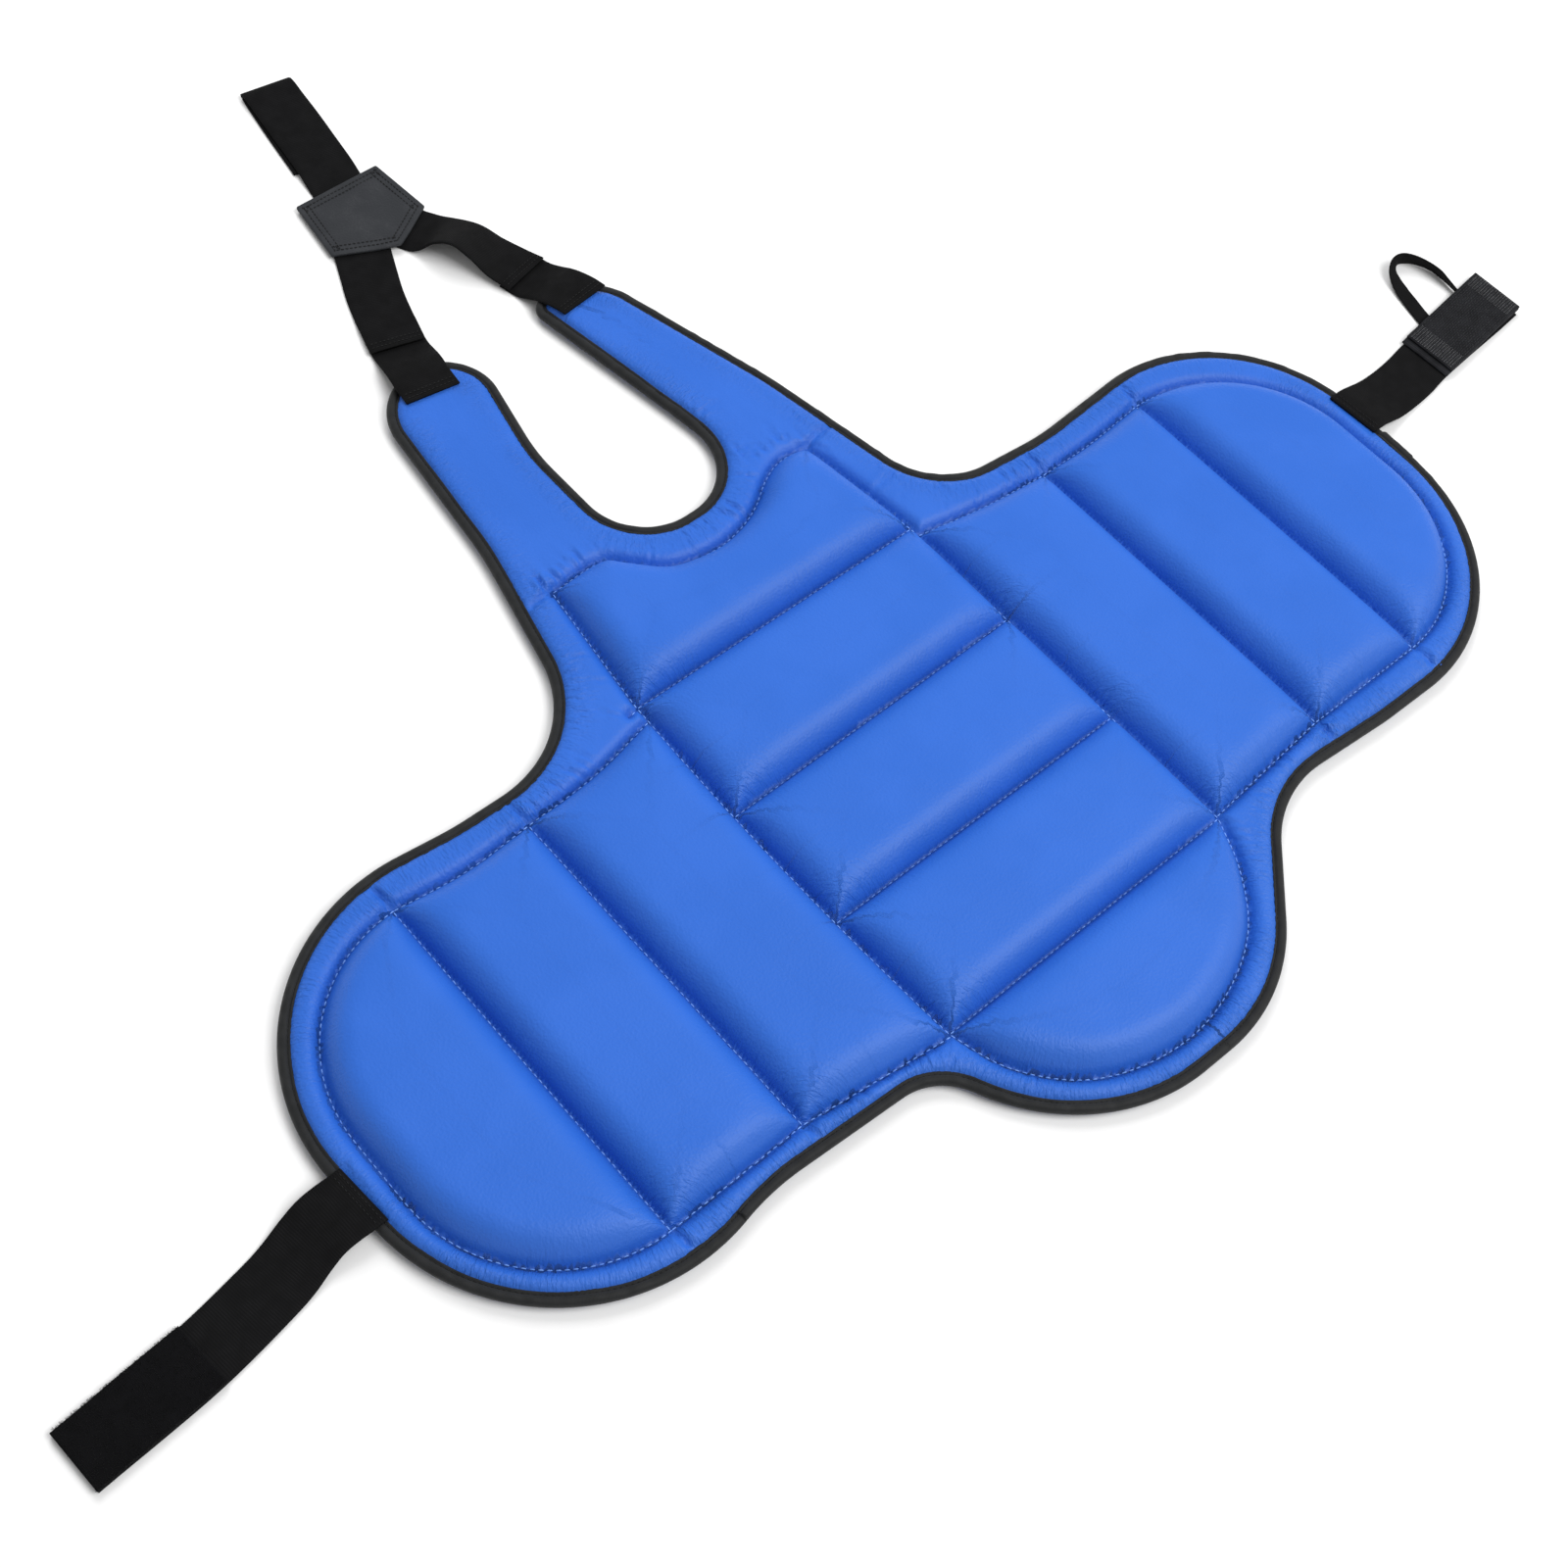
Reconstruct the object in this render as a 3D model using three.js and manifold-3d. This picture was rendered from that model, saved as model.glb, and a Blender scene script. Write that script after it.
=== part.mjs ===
// Quilted body protector for contact sport, lying flat on its back with its straps spread out.
// Millimetres, +Z up. X runs across the chest, Y from the waist to the shoulders. The back of the
// padded panel rests on Z = 0, and the origin is on its middle line, under the seam at the waist.
import * as THREE from "three";
import { mergeVertices } from "three/addons/utils/BufferGeometryUtils.js";
import Module from "manifold-3d";

const wasm = await Module();
wasm.setup();

// Clearance between neighbouring pieces, and the fineness of the round stretches
const GAP = 0.3;
const ARC_STEP = 20;
const ARC_STEPS_LEAST = 2;

// Heights of the padded panel above its flat back
const SEAM_Z = 6;
const BORDER_Z = 12;
const CELL_Z = 24;

// The panel's thin sewn edge, half way up the border, and the folded tape round it
const EDGE_Z = 6;
const EDGE_HALF = 1.4;
const EDGE_INSET = 1.5;
const TAPE_HALF = 3;
const TAPE_COVER = 9;

// Elastic webbing, and the flat pieces sewn to it
const WEB_WIDTH = 39;
const WEB_THICK = 1.8;
const WEB_REST_Z = WEB_THICK / 2 + 0.2;
const LAP_Z = WEB_REST_Z + WEB_THICK + GAP;
const PATCH_THICK = 2.4;
const LOOP_TAPE_THICK = 2;
const HOOK_THICK = 1.5;
const HOOK_SECTION = { width: 41.5, thick: HOOK_THICK };
const FINGER_LOOP_SECTION = { width: 10.5, thick: 1.3, steps: 3 };

// The panel's outline, one row for each corner, from the bottom to the neck. It is hand cut, so
// the two halves differ a little, and the left half is given as if it lay on the right
const RIGHT_HALF = [
  { corner: "bottom lobe", x: 68, y: -290.5, round: 140 },
  { corner: "waist notch", x: 155, y: -191, round: 75 },
  { corner: "wing, lower side", x: 260, y: -200, round: 200 },
  { corner: "wing end, lower", x: 441, y: -203, round: 137 },
  { corner: "wing end, upper", x: 437, y: 112, round: 116 },
  { corner: "wing, upper side", x: 249.5, y: 101, round: 200 },
  { corner: "armhole", x: 153.5, y: 104.5, round: 50 },
  { corner: "shoulder side", x: 125.5, y: 246, round: 250 },
  { corner: "shoulder tip, outer", x: 88, y: 393, round: 42 },
  { corner: "shoulder tip, inner", x: 33.5, y: 389, round: 10 },
  { corner: "neck side", x: 52.5, y: 260, round: 160 },
  { corner: "neck base", x: 61, y: 188.5, round: 46 },
];
const LEFT_HALF = [
  { corner: "bottom lobe", x: 88, y: -293.5, round: 122 },
  { corner: "waist notch", x: 139, y: -193.5, round: 48 },
  { corner: "wing, lower side", x: 262, y: -190.5, round: 197 },
  { corner: "wing end, lower", x: 436, y: -219.5, round: 134 },
  { corner: "wing end, upper", x: 438, y: 112, round: 132 },
  { corner: "wing, upper side", x: 254, y: 95.5, round: 200 },
  { corner: "armhole", x: 151.5, y: 95, round: 80 },
  { corner: "shoulder side", x: 120, y: 240, round: 250 },
  { corner: "shoulder tip, outer", x: 100, y: 386, round: 35 },
  { corner: "shoulder tip, inner", x: 18.5, y: 391, round: 35 },
  { corner: "neck side", x: 40, y: 280, round: 142 },
  { corner: "neck base", x: 40, y: 189.5, round: 44 },
];

// Sewn seams of the quilting
const COLUMN_X = 115;
const WING_SEAM_X = [217, 311];
const WING_END_X = 416;
const ROW_Y = { chest: 91.5, upper: 0, middle: -93, lower: -183 };
const WING_TOP_Y = [82.5, 69.5, 75];
const WING_BOTTOM_Y = [-181, -172.5, -173];
const WING_TOP_SAG = 3.5;
const WING_END_ROUND = 103;

// Each cell lies between four sewn sides, given by points: a straight side by its two ends.
// Bottom and top run towards +X, left and right towards +Y
const CHEST_CELL = {
  bottom: [[-COLUMN_X, ROW_Y.chest], [COLUMN_X, ROW_Y.chest]],
  right: [[COLUMN_X, ROW_Y.chest], [102, 192]],
  top: [
    [-102, 192], [-62, 192], [-50, 181], [-33, 165], [0, 157.5],
    [33, 165], [50, 181], [62, 192], [102, 192],
  ],
  left: [[-COLUMN_X, ROW_Y.chest], [-102, 192]],
};
const LOBE_CELL = {
  bottom: [[-76, -247], [-42, -263.5], [0, -269], [42, -263.5], [76, -247]],
  right: [[76, -247], [104, -217], [COLUMN_X, ROW_Y.lower]],
  top: [[-COLUMN_X, ROW_Y.lower], [COLUMN_X, ROW_Y.lower]],
  left: [[-76, -247], [-104, -217], [-COLUMN_X, ROW_Y.lower]],
};

// Rise of a cell from its seam: a rounded roll, then an almost flat crown
const ROLL = 30;
const CROWN = 1.5;
const CROWN_REACH = 45;
const SEAM_HALF_WIDTH = 0.5;
const CELL_ROOT_Z = SEAM_Z - 2;
const CELL_GRID = [SEAM_HALF_WIDTH, 3, 9.5, 21, 38];
const CELL_GRID_MIDDLE = 0.42;
const CURVED_GRID_STEP = 22;

// Short seams that run on from a cell's corner through the border, on the right half
const BORDER_TUCKS = [
  { from: [217, 66], to: [219, 93] },
  { from: [311, 71], to: [313, 96] },
  { from: [217, -169], to: [215, -187] },
  { from: [311, -169], to: [309, -190] },
  { from: [98, 192], to: [127, 190] },
];
const TUCK_SIDE = 8;
const TUCK_Z = 13.4;

// Cross-sections, as distance in from the outline or seam, and height
const PANEL_PROFILE = [
  { inset: 16, z: 0 },
  { inset: 12, z: 1.4 },
  { inset: TAPE_COVER + GAP, z: EDGE_Z - EDGE_HALF - GAP },
  { inset: EDGE_INSET + GAP, z: EDGE_Z - EDGE_HALF },
  { inset: EDGE_INSET + GAP, z: EDGE_Z + EDGE_HALF },
  { inset: TAPE_COVER + GAP, z: EDGE_Z + EDGE_HALF + GAP },
  { inset: 10.5, z: 9.8 },
  { inset: 13.5, z: 11.4 },
  { inset: 17, z: BORDER_Z },
];
const BINDING_PROFILE = [
  { inset: TAPE_COVER, z: EDGE_Z + EDGE_HALF + 2 * GAP },
  { inset: EDGE_INSET, z: EDGE_Z + EDGE_HALF + GAP },
  { inset: EDGE_INSET, z: EDGE_Z - EDGE_HALF - GAP },
  { inset: TAPE_COVER, z: EDGE_Z - EDGE_HALF - 2 * GAP },
  { inset: TAPE_COVER, z: EDGE_Z - TAPE_HALF },
  { inset: 3.2, z: EDGE_Z - TAPE_HALF },
  { inset: 0.8, z: EDGE_Z - 0.7 * TAPE_HALF },
  { inset: 0, z: EDGE_Z },
  { inset: 0.8, z: EDGE_Z + 0.7 * TAPE_HALF },
  { inset: 3.2, z: EDGE_Z + TAPE_HALF },
  { inset: TAPE_COVER, z: EDGE_Z + TAPE_HALF - 0.1 },
];
const MOAT_PROFILE = [
  { grow: 0.5, z: SEAM_Z },
  { grow: 3, z: 9.5 },
  { grow: 9, z: BORDER_Z + 1 },
];
const YOKE_PROFILE = [
  { inset: 0.6, z: LAP_Z - WEB_THICK / 2 },
  { inset: 0, z: LAP_Z - WEB_THICK / 2 + 0.6 },
  { inset: 0, z: LAP_Z - WEB_THICK / 2 + PATCH_THICK - 0.7 },
  { inset: 1, z: LAP_Z - WEB_THICK / 2 + PATCH_THICK },
];

// Yoke patch between the shoulder blades
const YOKE = [
  { x: -43.5, y: 504, round: 3 },
  { x: 0.5, y: 484.5, round: 4 },
  { x: 36, y: 506, round: 3 },
  { x: 32, y: 557, round: 3 },
  { x: -36.5, y: 555, round: 3 },
];

// Middle lines of the straps. turn is the heading of the strap's width, tilt its lean, in degrees
const PAD_TOP_Z = BORDER_Z + GAP + WEB_THICK / 2;
const TAPE_TOP_Z = EDGE_Z + TAPE_HALF + GAP + WEB_THICK / 2;
const LEFT_TAB = [
  { x: -66, y: 363, z: PAD_TOP_Z, turn: -8, tilt: 0 },
  { x: -64.5, y: 375, z: PAD_TOP_Z, turn: -9, tilt: 0 },
  { x: -62, y: 385, z: 11.6, turn: -10, tilt: 0 },
  { x: -60, y: 393, z: 9.2, turn: -12, tilt: 0 },
  { x: -57.5, y: 401, z: 5, turn: -13, tilt: 0 },
  { x: -55, y: 411, z: WEB_REST_Z + 0.3, turn: -14, tilt: 0 },
  { x: -52, y: 424, z: WEB_REST_Z, turn: -15, tilt: 0 },
];
const LEFT_ELASTIC = [
  { x: -55.5, y: 413.5, z: LAP_Z + 0.5, turn: -14, tilt: 0 },
  { x: -51, y: 428, z: LAP_Z, turn: -16, tilt: 0 },
  { x: -46, y: 443, z: WEB_REST_Z + 0.4, turn: -21, tilt: 0 },
  { x: -39.5, y: 461, z: WEB_REST_Z, turn: -25, tilt: 0 },
  { x: -31, y: 480, z: WEB_REST_Z, turn: -27, tilt: 0 },
  { x: -21, y: 502, z: WEB_REST_Z, turn: -27, tilt: 0 },
];
const RIGHT_TAB = [
  { x: 65.5, y: 367, z: PAD_TOP_Z, turn: 7, tilt: 0 },
  { x: 63.5, y: 376, z: PAD_TOP_Z, turn: 10, tilt: 0 },
  { x: 61, y: 386, z: 11.6, turn: 12, tilt: 0 },
  { x: 59.5, y: 393, z: 9.2, turn: 13, tilt: 0 },
  { x: 58, y: 401, z: 5, turn: 14, tilt: 0 },
  { x: 55.5, y: 411, z: WEB_REST_Z + 0.3, turn: 15, tilt: 0 },
  { x: 52.5, y: 424, z: WEB_REST_Z, turn: 15, tilt: 0 },
];
const RIGHT_ELASTIC = [
  { x: 54, y: 415.5, z: LAP_Z + 0.5, turn: 15, tilt: 0 },
  { x: 48.5, y: 432, z: LAP_Z + 1.2, turn: 14, tilt: -5 },
  { x: 43.5, y: 447, z: 8, turn: 17, tilt: -15 },
  { x: 37.5, y: 461, z: 12.3, turn: 20, tilt: -18 },
  { x: 30, y: 474, z: 9.5, turn: 25, tilt: -15 },
  { x: 24, y: 484, z: 3, turn: 29, tilt: -4 },
  { x: 20, y: 490.5, z: WEB_REST_Z + 0.2, turn: 30, tilt: 0 },
  { x: 14, y: 502, z: WEB_REST_Z, turn: 30, tilt: 0 },
];
const YOKE_ELASTIC = [
  { x: -4, y: 530, z: WEB_REST_Z, turn: -8, tilt: 0 },
  { x: 0.3, y: 560, z: WEB_REST_Z, turn: -8, tilt: 0 },
  { x: 13.5, y: 652, z: WEB_REST_Z, turn: -8, tilt: 0 },
  { x: 15, y: 662, z: WEB_REST_Z + 0.4, turn: -7, tilt: 0 },
  { x: 15.6, y: 666, z: LAP_Z + 0.1, turn: -7, tilt: 0 },
  { x: 15, y: 662, z: LAP_Z + 2.4, turn: -7, tilt: 0 },
  { x: 12.8, y: 649, z: LAP_Z + 1.4, turn: -8, tilt: 0 },
  { x: 8, y: 619, z: LAP_Z + 0.2, turn: -8, tilt: 0 },
  { x: 2.4, y: 583.5, z: LAP_Z + 0.2, turn: -8, tilt: 0 },
];
const LEFT_WAIST = [
  { x: -430, y: -55.5, z: TAPE_TOP_Z, turn: 93, tilt: 0 },
  { x: -441, y: -55.3, z: TAPE_TOP_Z - 0.4, turn: 93, tilt: 0 },
  { x: -452, y: -55.3, z: 7.2, turn: 93, tilt: 0 },
  { x: -463, y: -56.7, z: 4.2, turn: 97, tilt: 0 },
  { x: -480, y: -62, z: WEB_REST_Z + 0.7, turn: 100, tilt: 0 },
  { x: -500, y: -66, z: WEB_REST_Z + 0.1, turn: 99, tilt: 0 },
  { x: -540, y: -72, z: WEB_REST_Z, turn: 95, tilt: 0 },
  { x: -614, y: -77, z: WEB_REST_Z, turn: 93, tilt: 0 },
];
const LOOP_TAPE_Z = WEB_REST_Z + WEB_THICK / 2 + GAP + LOOP_TAPE_THICK / 2;
const LOOP_TAPE = [
  { x: -536, y: -71.5, z: LOOP_TAPE_Z, turn: 95, tilt: 0 },
  { x: -614.5, y: -77, z: LOOP_TAPE_Z, turn: 93, tilt: 0 },
];
const RIGHT_WAIST = [
  { x: 430, y: -19.5, z: TAPE_TOP_Z, turn: 93, tilt: 0 },
  { x: 441, y: -19.3, z: TAPE_TOP_Z - 0.4, turn: 92, tilt: 0 },
  { x: 452, y: -19.4, z: 7, turn: 91, tilt: 0 },
  { x: 463, y: -19.6, z: 4, turn: 90, tilt: 0 },
  { x: 480, y: -19, z: WEB_REST_Z + 0.6, turn: 91, tilt: 0 },
  { x: 500, y: -17.3, z: WEB_REST_Z, turn: 94, tilt: 0 },
  { x: 523.5, y: -13.8, z: WEB_REST_Z, turn: 94, tilt: 0 },
  { x: 612, y: -7, z: WEB_REST_Z, turn: 93, tilt: 0 },
];
const HOOK_BASE_Z = WEB_REST_Z + WEB_THICK / 2 + GAP + HOOK_THICK / 2;
const HOOK_BASE = [
  { x: 520.5, y: -13.7, z: HOOK_BASE_Z, turn: 92, tilt: 0 },
  { x: 616.7, y: -3.4, z: HOOK_BASE_Z, turn: 91, tilt: 0 },
];
const HOOK_TAPE_Z = HOOK_BASE_Z + HOOK_THICK + GAP;
const HOOK_TAPE = [
  { x: 526, y: -13.1, z: HOOK_TAPE_Z, turn: 92, tilt: 0 },
  { x: 617, y: -3.3, z: HOOK_TAPE_Z, turn: 91, tilt: 0 },
];

// Narrow elastic sewn into the hook end as a finger loop. It leaves flat and turns onto its edge
const FINGER_LOOP = [
  { x: 552, y: 11.2, z: 1.2, turn: 162, tilt: 0 },
  { x: 556, y: 27, z: 1.2, turn: 162, tilt: 0 },
  { x: 560.5, y: 42, z: 1.7, turn: 158, tilt: 8 },
  { x: 565.5, y: 53, z: 3.5, turn: 143, tilt: 32 },
  { x: 571.5, y: 58.8, z: 5.2, turn: 115, tilt: 62 },
  { x: 578.5, y: 60, z: 5.7, turn: 82, tilt: 90 },
  { x: 586, y: 54.6, z: 5.6, turn: 53, tilt: 104 },
  { x: 591.5, y: 44.3, z: 5.4, turn: 40, tilt: 115 },
  { x: 593.5, y: 34.6, z: 5.1, turn: 38, tilt: 120 },
  { x: 592.7, y: 24, z: 5, turn: 38, tilt: 122 },
  { x: 591.5, y: 16.2, z: 5, turn: 38, tilt: 122 },
];

// Colours and finishes
const BLUE_LEATHER = new THREE.MeshStandardMaterial({ color: 0x2a58c8, roughness: 0.45, metalness: 0 });
const BLACK_TAPE = new THREE.MeshStandardMaterial({ color: 0x232325, roughness: 0.8, metalness: 0 });
const BLACK_ELASTIC = new THREE.MeshStandardMaterial({ color: 0x141416, roughness: 0.9, metalness: 0 });
const CHARCOAL_LEATHER = new THREE.MeshStandardMaterial({ color: 0x303236, roughness: 0.55, metalness: 0 });
const HOOK_BLACK = new THREE.MeshStandardMaterial({ color: 0x26272a, roughness: 0.7, metalness: 0 });
const LOOP_BLACK = new THREE.MeshStandardMaterial({ color: 0x101011, roughness: 1, metalness: 0 });

// One belly cell between two row seams
function rowCell(low, high) {
  return {
    bottom: [[-COLUMN_X, low], [COLUMN_X, low]],
    right: [[COLUMN_X, low], [COLUMN_X, high]],
    top: [[-COLUMN_X, high], [COLUMN_X, high]],
    left: [[-COLUMN_X, low], [-COLUMN_X, high]],
  };
}

// One straight side cell of the right wing, between its seam numbers i and i + 1
function wingCell(i) {
  const [inner, outer] = [[COLUMN_X, ...WING_SEAM_X][i], WING_SEAM_X[i]];
  const middle = (inner + outer) / 2;
  const topMiddle = (WING_TOP_Y[i] + WING_TOP_Y[i + 1]) / 2 - WING_TOP_SAG;
  return {
    bottom: [[inner, WING_BOTTOM_Y[i]], [outer, WING_BOTTOM_Y[i + 1]]],
    right: [[outer, WING_BOTTOM_Y[i + 1]], [outer, WING_TOP_Y[i + 1]]],
    top: [[inner, WING_TOP_Y[i]], [middle, topMiddle], [outer, WING_TOP_Y[i + 1]]],
    left: [[inner, WING_BOTTOM_Y[i]], [inner, WING_TOP_Y[i]]],
  };
}

// The half-round cell at the end of the right wing
function wingEndCell() {
  const inner = WING_SEAM_X.at(-1);
  const [low, high] = [WING_BOTTOM_Y.at(-1), WING_TOP_Y.at(-1)];
  const x = WING_END_X - WING_END_ROUND;
  const arc = (y, ...degrees) => degrees.map((a) => [
    x + WING_END_ROUND * Math.cos(a * THREE.MathUtils.DEG2RAD),
    y + WING_END_ROUND * Math.sin(a * THREE.MathUtils.DEG2RAD),
  ]);
  return {
    bottom: [[inner, low], ...arc(low + WING_END_ROUND, -75, -60, -45)],
    right: [...arc(low + WING_END_ROUND, -45, -30, -15, 0), ...arc(high - WING_END_ROUND, 0, 15, 30, 45)],
    top: [[inner, high], ...arc(high - WING_END_ROUND, 75, 60, 45)],
    left: [[inner, low], [inner, high]],
  };
}

// The same cell on the other wing
function mirroredCell({ bottom, right, top, left }) {
  const flip = (side) => side.map(([x, y]) => [-x, y]);
  return {
    bottom: flip(bottom).reverse(),
    right: flip(left),
    top: flip(top).reverse(),
    left: flip(right),
  };
}

// The same corners on the other side of the middle line, in the order that keeps turning left
function mirrored(corners) {
  return corners.map((corner) => ({ ...corner, x: -corner.x })).reverse();
}

// A closed ring of points: a polygon with rounded corners, moved in and laid at a height.
// Corners run counter-clockwise. As the ring moves in, an outer corner's radius shrinks to the
// softest one given and a hollow corner's grows, so that rings of one polygon keep their points.
function ring(corners, { inset, z, soft = 0.5 }) {
  const left = (v) => new THREE.Vector2(-v.y, v.x);
  return corners.flatMap((corner, i) => {
    const here = new THREE.Vector2(corner.x, corner.y);
    const before = corners.at(i - 1);
    const after = corners[(i + 1) % corners.length];
    const into = here.clone().sub(before).normalize();
    const out = new THREE.Vector2(after.x, after.y).sub(here).normalize();
    const turn = Math.atan2(into.cross(out), into.dot(out));
    const side = Math.sign(turn);
    const mitre = left(into).add(left(out)).divideScalar(1 + into.dot(out));
    const tip = here.addScaledVector(mitre, inset);
    const radius = Math.max(corner.round - side * inset, soft);
    const reach = radius * Math.tan(Math.abs(turn) / 2);
    const centre = tip.addScaledVector(into, -reach).addScaledVector(left(into), side * radius);
    const spoke = left(into).multiplyScalar(-side * radius);
    const wanted = Math.ceil((Math.abs(turn) * corner.round) / ARC_STEP);
    const steps = Math.max(wanted, ARC_STEPS_LEAST);
    return Array.from({ length: steps + 1 }, (_, k) => {
      const point = spoke.clone().rotateAround(new THREE.Vector2(), (turn * k) / steps).add(centre);
      return new THREE.Vector3(point.x, point.y, z);
    });
  });
}

// A closed solid skinned over rings of equal length. Level rings are capped at both ends,
// and a loop of rings closes on itself.
function loft(rings, loop = false) {
  const length = rings[0].length;
  const index = [];
  const spans = loop ? rings.length : rings.length - 1;
  for (let r = 0; r < spans; r += 1) {
    const low = r * length;
    const high = ((r + 1) % rings.length) * length;
    for (let k = 0; k < length; k += 1) {
      const next = (k + 1) % length;
      index.push(low + k, low + next, high + next, low + k, high + next, high + k);
    }
  }
  if (!loop) {
    const top = (rings.length - 1) * length;
    for (const [a, b, c] of THREE.ShapeUtils.triangulateShape(rings[0], [])) index.push(a, c, b);
    for (const [a, b, c] of THREE.ShapeUtils.triangulateShape(rings.at(-1), [])) {
      index.push(top + a, top + b, top + c);
    }
  }
  const geometry = new THREE.BufferGeometry().setFromPoints(rings.flat());
  geometry.setIndex(index);
  return geometry;
}

// A level-ringed solid of one polygon, from a table of insets and heights
function pillow(corners, profile) {
  return loft(profile.map((level) => ring(corners, level)));
}

// A cell's sewn side as a curve
function sideCurve(points) {
  const places = points.map(([x, y]) => new THREE.Vector2(x, y));
  return places.length === 2 ? new THREE.LineCurve(...places) : new THREE.SplineCurve(places);
}

// Points round a cell, counter-clockwise, with only the ends of its straight sides
function cellLoop({ bottom, right, top, left }) {
  const run = (side) => {
    const points = sideCurve(side).getPoints(side.length === 2 ? 1 : 2 * side.length);
    return points.slice(0, -1);
  };
  return [bottom, right, [...top].reverse(), [...left].reverse()].flatMap(run);
}

// A ring outside a loop of points, at a height
function grown(loop, { grow, z }) {
  return loop.map((here, i) => {
    const into = here.clone().sub(loop.at(i - 1)).normalize();
    const out = loop[(i + 1) % loop.length].clone().sub(here).normalize();
    const outwards = new THREE.Vector2(into.y + out.y, -into.x - out.x);
    const place = here.clone().addScaledVector(outwards, grow / (1 + into.dot(out)));
    return new THREE.Vector3(place.x, place.y, z);
  });
}

// Shares of a length at which a cell's grid lines run: close together near the seams, and
// in even steps between where a side is curved
function gridShares(length, curved) {
  const near = CELL_GRID.map((d) => d / length).filter((share) => share < CELL_GRID_MIDDLE);
  const middle = 1 - 2 * near.at(-1);
  const steps = curved ? Math.ceil((middle * length) / CURVED_GRID_STEP) : 1;
  const between = Array.from({ length: steps - 1 }, (_, k) => near.at(-1) + (middle * (k + 1)) / steps);
  return [...near, ...between, ...near.map((share) => 1 - share).reverse()];
}

// Height of a cell's cover at a distance from its nearest seam
function cellHeight(distance) {
  const roll = Math.min(distance / ROLL, 1);
  const crown = CROWN * (1 - Math.exp(-distance / CROWN_REACH));
  return SEAM_Z + (CELL_Z - SEAM_Z) * Math.sqrt(1 - (1 - roll) ** 2) + crown;
}

// Distance from a place to the nearest side of a loop of points
function loopDistance(loop, place) {
  const side = new THREE.Line3();
  const nearest = new THREE.Vector3();
  const at = new THREE.Vector3(place.x, place.y, 0);
  return Math.min(...loop.map((point, i) => {
    const next = loop[(i + 1) % loop.length];
    side.start.set(point.x, point.y, 0);
    side.end.set(next.x, next.y, 0);
    return side.closestPointToPoint(at, true, nearest).distanceTo(at);
  }));
}

// A place inside a cell, at shares u of the way across and v of the way up between its four sides
function cellPlace({ bottom, right, top, left }, u, v) {
  return new THREE.Vector2()
    .addScaledVector(bottom.getPointAt(u), 1 - v)
    .addScaledVector(top.getPointAt(u), v)
    .addScaledVector(left.getPointAt(v), 1 - u)
    .addScaledVector(right.getPointAt(v), u)
    .addScaledVector(bottom.getPoint(0), -(1 - u) * (1 - v))
    .addScaledVector(bottom.getPoint(1), -u * (1 - v))
    .addScaledVector(top.getPoint(0), -(1 - u) * v)
    .addScaledVector(top.getPoint(1), -u * v);
}

// A stuffed cell: a block whose top is stretched between the four sides and raised off the seams
function stuffedCell(cell) {
  const sides = Object.fromEntries(Object.entries(cell).map(([name, side]) => [name, sideCurve(side)]));
  const shares = (a, b) => {
    const length = (a.getLength() + b.getLength()) / 2;
    return gridShares(length, a.isSplineCurve || b.isSplineCurve);
  };
  const across = shares(sides.bottom, sides.top);
  const up = shares(sides.left, sides.right);
  const loop = cellLoop(cell);
  const box = new THREE.BoxGeometry(1, 1, 1, across.length - 1, up.length - 1, 1);
  const place = box.attributes.position;
  for (let i = 0; i < place.count; i += 1) {
    const column = Math.round((place.getX(i) + 0.5) * (across.length - 1));
    const row = Math.round((place.getY(i) + 0.5) * (up.length - 1));
    const spot = cellPlace(sides, across[column], up[row]);
    const rim = [0, across.length - 1].includes(column) || [0, up.length - 1].includes(row);
    const top = rim ? SEAM_Z : cellHeight(loopDistance(loop, spot));
    place.setXYZ(i, spot.x, spot.y, place.getZ(i) > 0 ? top : CELL_ROOT_Z);
  }
  return closed(box);
}

// A flat strap: a long box bent so that its middle line follows the stations
function strap(stations, { width = WEB_WIDTH, thick = WEB_THICK, steps = 4 } = {}) {
  const line = new THREE.CatmullRomCurve3(stations.map(({ x, y, z }) => new THREE.Vector3(x, y, z)));
  const lean = new THREE.CatmullRomCurve3(
    stations.map(({ turn, tilt }) => new THREE.Vector3(turn, tilt, 0)),
  );
  const box = new THREE.BoxGeometry(1, width, thick, steps * (stations.length - 1), 1, 1);
  const place = box.attributes.position;
  for (let i = 0; i < place.count; i += 1) {
    const along = place.getX(i) + 0.5;
    const angles = lean.getPoint(along).multiplyScalar(THREE.MathUtils.DEG2RAD);
    const across = new THREE.Vector3(
      Math.cos(angles.x) * Math.cos(angles.y),
      Math.sin(angles.x) * Math.cos(angles.y),
      Math.sin(angles.y),
    );
    const normal = line.getTangent(along).cross(across).normalize();
    const point = line.getPoint(along);
    point.addScaledVector(across, place.getY(i)).addScaledVector(normal, place.getZ(i));
    place.setXYZ(i, point.x, point.y, point.z);
  }
  return closed(box);
}

// The same surface with only its corner points, each shared by the faces that meet there
function closed(geometry) {
  geometry.deleteAttribute("normal");
  geometry.deleteAttribute("uv");
  return mergeVertices(geometry);
}

// Solids to join and cut, and back to a geometry
function solid(geometry) {
  return new wasm.Manifold(
    new wasm.Mesh({
      numProp: 3,
      vertProperties: new Float32Array(geometry.attributes.position.array),
      triVerts: new Uint32Array(geometry.index.array),
    }),
  );
}

function geometryOf(manifold) {
  const { vertProperties, triVerts } = manifold.getMesh();
  const geometry = new THREE.BufferGeometry();
  geometry.setAttribute("position", new THREE.BufferAttribute(vertProperties, 3));
  geometry.setIndex(new THREE.BufferAttribute(triVerts, 1));
  return geometry;
}

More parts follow.
